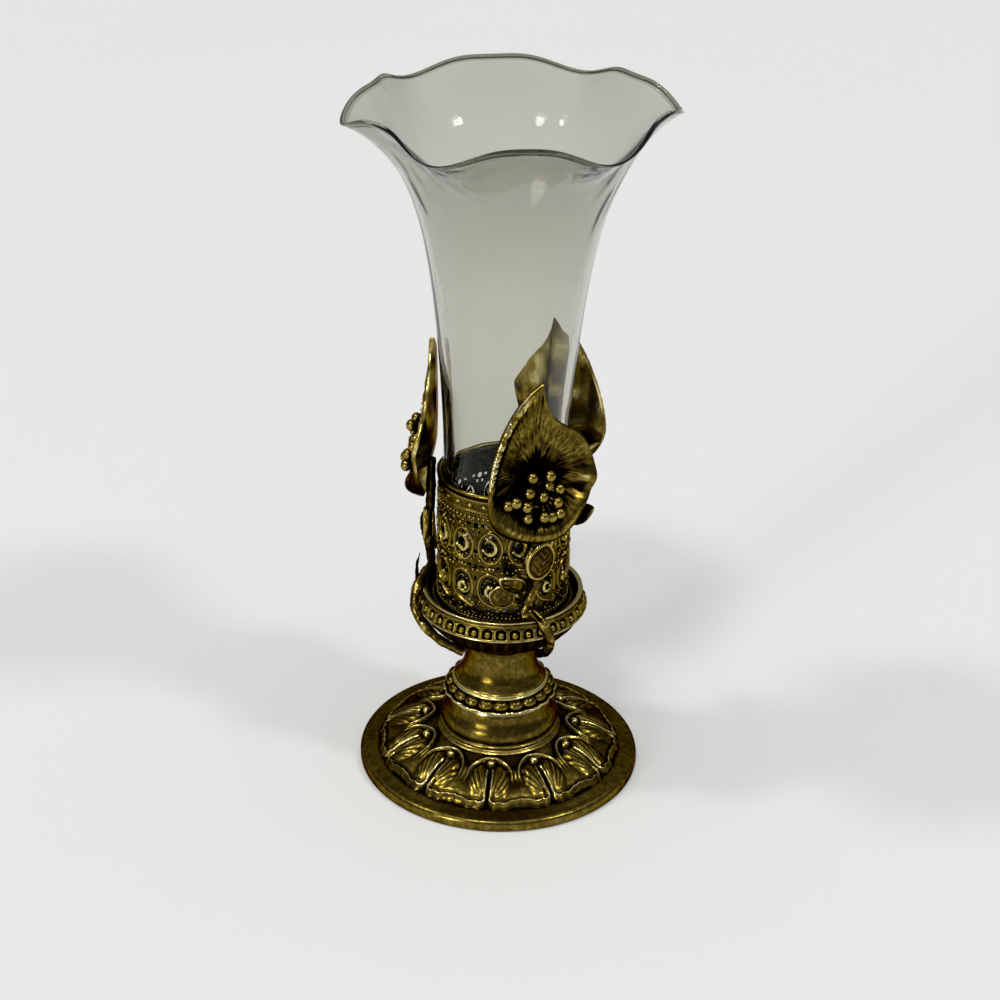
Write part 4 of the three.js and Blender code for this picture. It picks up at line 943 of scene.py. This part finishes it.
def make_leaf(name, material, azimuth, centre, radius, width, height, crown, point, veins, wall, turn=0, stand=0,
              reach=0.24, wear=0):
    """A domed leaf with a turned-up border and veins, laid round the cup, its point standing off."""
    leaf, share, bearing = spun_disc(name, 22, 120)
    angle = np.radians(bearing)
    narrow = 1 - point * np.clip(np.sin(angle), 0, None) ** 2 * 0.5
    flat = np.stack([width / 2 * narrow * np.cos(angle), height / 2 * np.sin(angle)], 1) * share[:, None]
    lean = math.radians(turn)
    laid = np.stack([flat[:, 0] * math.cos(lean) - flat[:, 1] * math.sin(lean),
                     flat[:, 0] * math.sin(lean) + flat[:, 1] * math.cos(lean)], 1)
    out = radius + 0.9 + crown * (1 - share ** 2) + stand * (0.5 + flat[:, 1] / height)
    out += 0.18 * hump(share, 0.9, 0.06) - 0.1 * hump(share, 0.76, 0.07)
    inner = ease(0.75, 0.6, share)
    if point > 0.2:
        out += 0.22 * hump(flat[:, 0], 0, 0.5) * inner
        out += 0.07 * np.cos(2 * np.pi * veins * (flat[:, 1] - 0.9 * np.abs(flat[:, 0])) / height) * inner
    else:
        out += 0.16 * np.cos(veins * angle) * ease(0.15, 0.4, share) * inner
    move_points(leaf, around(out, azimuth + np.degrees(laid[:, 0] / radius), centre + laid[:, 1]))
    face_out(leaf, azimuth)
    give_wall(leaf, wall)
    to_metres(leaf)
    # The last argument lightens or darkens the whole leaf as painted light and shade.
    mark(leaf, "wear", rub(leaf, reach, 8) + wear)
    leaf.data.materials.append(material)
    return leaf


# A flower: its azimuth, the height of its throat, the length, lean and slant of its tip, the fold and the
# flattening of its right side, and the side whose rim is rolled fuller and painted with a highlight.
flowers = [
    (24, 103.0, 27.5, 0, 0, 1.2, 0, 1),
    (142, 108.8, 26.4, -2, 1, 0.2, 0, 1),
    (263, 105.4, 29.0, 0, 0, 0.4, 2.2, -1),
]
# Its twig: how far it runs round under the dish, the turn and the drop of the pointed leaf, and how much lighter or
# darker the bud leaf and the pointed leaf are painted: a painted highlight on the front bud leaf, painted shade on
# the other bud leaves and on the black pointed leaf of the second spray.
twigs = [
    (20, -16, 20.5, 0.2, 0),
    (28, -38, 12.0, -0.05, -0.5),
    (54, -16, 20.5, -0.05, 0),
]
for number, (flower, branch) in enumerate(zip(flowers, twigs), 1):
    azimuth, throat = flower[:2]
    sweep, leaf_turn, leaf_drop, bud_painted_light, pointed_painted_shade = branch
    petal = make_petal(f"calla_petal_{number}", *flower, seed=number * 1.7)
    stamens = make_stamens(f"ball_stamens_{number}", azimuth, throat)
    foot_of_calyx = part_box(f"spray_{number}_twig")[1].z * 1000
    twig = make_twig(f"thorny_twig_{number}", azimuth, foot_of_calyx, sweep, number * 3.1)
    bud = make_leaf(
        f"bud_leaf_{number}", dark_gilt, azimuth + 4, CUP_TOP - 19, radius=21.9, width=8.6, height=12, crown=1.2,
        point=0.6, veins=6, wall=2.8, turn=-14, reach=0.28, wear=bud_painted_light)
    pointed = make_leaf(
        f"pointed_leaf_{number}", antique_gilt, azimuth + leaf_turn, CUP_TOP - leaf_drop - 5, radius=19.4,
        width=5.5, height=10, crown=0.9, point=0.9, veins=4, wall=0.9, turn=40, stand=5.6, wear=pointed_painted_shade)
    rosette = make_leaf(
        f"round_leaf_{number}", antique_gilt, azimuth - 24, CUP_TOP - 30.7, radius=19.4, width=7.4, height=7.4,
        crown=1.2, point=0.15, veins=22, wall=0.9)
    for piece, part, finish in [
        (petal, "petal", "antique_gilt"), (stamens, "stamens", "antique_gilt"), (twig, "twig", "dark_gilt"),
        (bud, "bud_leaf", "dark_gilt"), (pointed, "pointed_leaf", "antique_gilt"),
        (rosette, "round_leaf", "antique_gilt"),
    ]:
        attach(piece, "holder")
        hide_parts(f"spray_{number}_{part}")


# Glass insert. A trumpet of pale greenish glass, blown thin, its lip crimped with a tool into six shallow
# spouts and fire polished. It stands loose on the cup floor and lifts straight out.
SPOUTS = [-23, 31, 103, 157.5, 218.5, 283]
GLASS_FOOT = 56.0
GLASS_RADIUS = 17.6
STRAIGHT_TOP = 100
CRIMP_START = 175
GLASS_TOP = 203
LIP_LEVEL = GLASS_TOP - 1
LIP_HALF = 0.68


def glass_outer(z):
    """Straight up to the height of the flowers, then a slow flare that turns out sharply at the mouth."""
    t = np.clip((z - STRAIGHT_TOP) / (GLASS_TOP - STRAIGHT_TOP), 0, 1)
    return GLASS_RADIUS + 11.0 * t ** 1.6 + 17.9 * t ** 6.5


def glass_wall(z):
    return 2.4 - 1.1 * ease(STRAIGHT_TOP, GLASS_TOP, z)


def crimp(azimuth):
    """1 at a spout, -1 half-way between two."""
    spouts = np.array(SPOUTS + [SPOUTS[0] + 360], float)
    turn = (azimuth - spouts[0]) % 360 + spouts[0]
    k = np.clip(np.searchsorted(spouts, turn, side="right") - 1, 0, len(SPOUTS) - 1)
    return np.cos(2 * np.pi * (turn - spouts[k]) / (spouts[k + 1] - spouts[k]))


levels = np.concatenate([np.linspace(GLASS_FOOT + 2.2, STRAIGHT_TOP, 22),
                         np.linspace(STRAIGHT_TOP + 1.5, CRIMP_START, 46),
                         np.linspace(CRIMP_START + 1, GLASS_TOP - 1.6, 34)])
pushed_up = [(0, 4), (3.6, 3.7), (7.2, 2.8), (9.8, 1.2), (11.4, 0.2), (12.4, 0), (15.6, 0), (16.6, 0.2)]
glass_outline = raised(GLASS_FOOT, pushed_up + [(17.3, 0.8), (17.58, 1.5)])
glass_outline += [(float(glass_outer(z)), float(z)) for z in levels]
lip_centre = float(glass_outer(LIP_LEVEL) - glass_wall(LIP_LEVEL) / 2)
for turn in np.radians(np.arange(-30, 211, 30)):
    glass_outline.append((lip_centre + LIP_HALF * math.cos(turn), LIP_LEVEL + LIP_HALF * math.sin(turn)))
inside = levels[levels > GLASS_FOOT + 11.5][::-1]
glass_outline += [(float(glass_outer(z) - glass_wall(z)), float(z)) for z in inside]
glass_outline += raised(GLASS_FOOT, [(15.15, 11), (14.9, 10), (14.2, 9), (13.0, 8.3), (11.5, 8), (6.0, 8), (0, 8)])
glass = draw_outline("crimped_glass", glass_outline)
spin_outline(240)
points = read_points(glass)
radius, azimuth = polar(points)
height = points[:, 2]
lip = ease(GLASS_TOP - 2.1, GLASS_TOP - 1.5, height)
share = np.clip((height - CRIMP_START) / (GLASS_TOP - CRIMP_START), 0, None) ** 2.5
wave = crimp(azimuth)
radius = radius + (2.5 * wave + 2.7 * np.cos(2 * np.radians(azimuth + 9))) * share
height = height - 4.6 * ((1 + wave) / 2) ** 2 * share
move_points(glass, around(radius, azimuth, height))
mark(glass, "lip", lip)
to_metres(glass)

# Blown soda glass: clear with a faint grey-green body colour that turns greyer towards the mouth.
# It is slightly wavy from being drawn out, so lights break into streaks, and its thick lip shows grey-green.
clear_glass, tree = new_material("blown soda glass")
place = add_node(tree, "TexCoord")
drawn_out = add_node(tree, "Mapping", {"Scale": (1, 1, 0.15)}, {"Vector": (place, "Object")})
waves = add_node(tree, "TexNoise", {"Scale": 1 / 0.009, "Detail": 1.0}, {"Vector": (drawn_out, 0)})
wavy = add_node(tree, "Bump", {"Strength": 0.4, "Distance": 0.0012}, {"Height": (waves, "Fac")})
spot = add_node(tree, "SeparateXYZ", {}, {"Vector": (place, "Object")})
greyer_towards_mouth = add_node(tree, "MapRange", {"From Min": 0.14, "From Max": 0.195, "To Max": 0.6}, {"Value": (spot, "Z")})
lip_edge = add_node(tree, "Attribute", {"attribute_name": "lip"})
depth = add_node(tree, "Math", {"operation": "MAXIMUM"}, {0: (greyer_towards_mouth, 0), 1: (lip_edge, "Fac")})
body_colour = add_node(tree, "ValToRGB", {"stops": [(0, "#eeeee8"), (0.6, "#d0d0c8"), (1, "#8d917d")]},
                       {"Fac": (depth, 0)})
body = add_node(tree, "BsdfPrincipled",
                {"Roughness": 0.015, "IOR": 1.4, "Transmission Weight": 1.0, "Specular Tint": paint("#9c9c94")},
                {"Base Color": (body_colour, 0), "Normal": (wavy, 0)})
depth_tint = add_node(tree, "VolumeAbsorption", {"Color": paint("#babbad"), "Density": 90.0})
add_node(tree, "OutputMaterial", {}, {"Surface": (body, 0), "Volume": (depth_tint, 0)})
glass.data.materials.append(clear_glass)
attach(glass, "glass")
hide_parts("glass_insert")


# Floor, light and camera. A plain pale tabletop under a wide soft ceiling light and a dim even sky. Three
# small lamps and a low window give the gilding its points of light.
bpy.ops.mesh.primitive_plane_add(size=60, location=(0, 0, -0.0002))
floor = bpy.context.object
floor.name = "tabletop"
floor_paint, tree = new_material("matt pale paint")
place = add_node(tree, "TexCoord")
specks = add_node(tree, "TexNoise", {"Scale": 1 / 0.4, "Detail": 2.0}, {"Vector": (place, "Object")})
pale = add_node(tree, "ValToRGB", {"stops": [(0, "#eeeeec"), (1, "#f1f1ef")]}, {"Fac": (specks, "Fac")})
matt = add_node(tree, "BsdfPrincipled", {"Roughness": 0.6}, {"Base Color": (pale, 0)})
add_node(tree, "OutputMaterial", {}, {"Surface": (matt, 0)})
floor.data.materials.append(floor_paint)

world = bpy.data.worlds.new("even grey sky")
bpy.context.scene.world = world
world.use_nodes = True
sky = world.node_tree.nodes["Background"].inputs
sky["Color"].default_value = paint("#d9dadb")
sky["Strength"].default_value = 0.28


def soft_light(name, azimuth, height, spread, strength):
    """Even light from an azimuth and a height in degrees, as soft as a panel that fills the spread."""
    lamp = bpy.data.lights.new(name, "SUN")
    lamp.angle = math.radians(spread)
    lamp.energy = strength
    light = bpy.data.objects.new(name, lamp)
    light.rotation_euler = (math.radians(90 - height), 0, math.radians(azimuth))
    bpy.context.scene.collection.objects.link(light)


soft_light("lamp left", -20, 61, 8, 0.6)
soft_light("lamp right", 62, 50, 7, 0.5)
soft_light("lamp side", 276, 56, 7, 0.5)
soft_light("window", -36, 12, 12, 0.9)
soft_light("ceiling", 0, 80, 100, 0.92)

camera_data = bpy.data.cameras.new("camera")
SENSOR = 36
FOCAL_WIDTHS = 2.039289
camera_data.sensor_width = SENSOR
camera_data.lens = FOCAL_WIDTHS * SENSOR
camera = bpy.data.objects.new("camera", camera_data)
camera.matrix_world = (Matrix.Translation((0, -0.519588, 0.349324)) @ Matrix.Rotation(0.00243, 4, "Z")
                       @ Matrix.Rotation(math.radians(63.072), 4, "X") @ Matrix.Rotation(0.02355, 4, "Z"))
bpy.context.scene.collection.objects.link(camera)
bpy.context.scene.camera = camera
bpy.context.scene.view_settings.view_transform = "Standard"

bpy.context.view_layer.update()
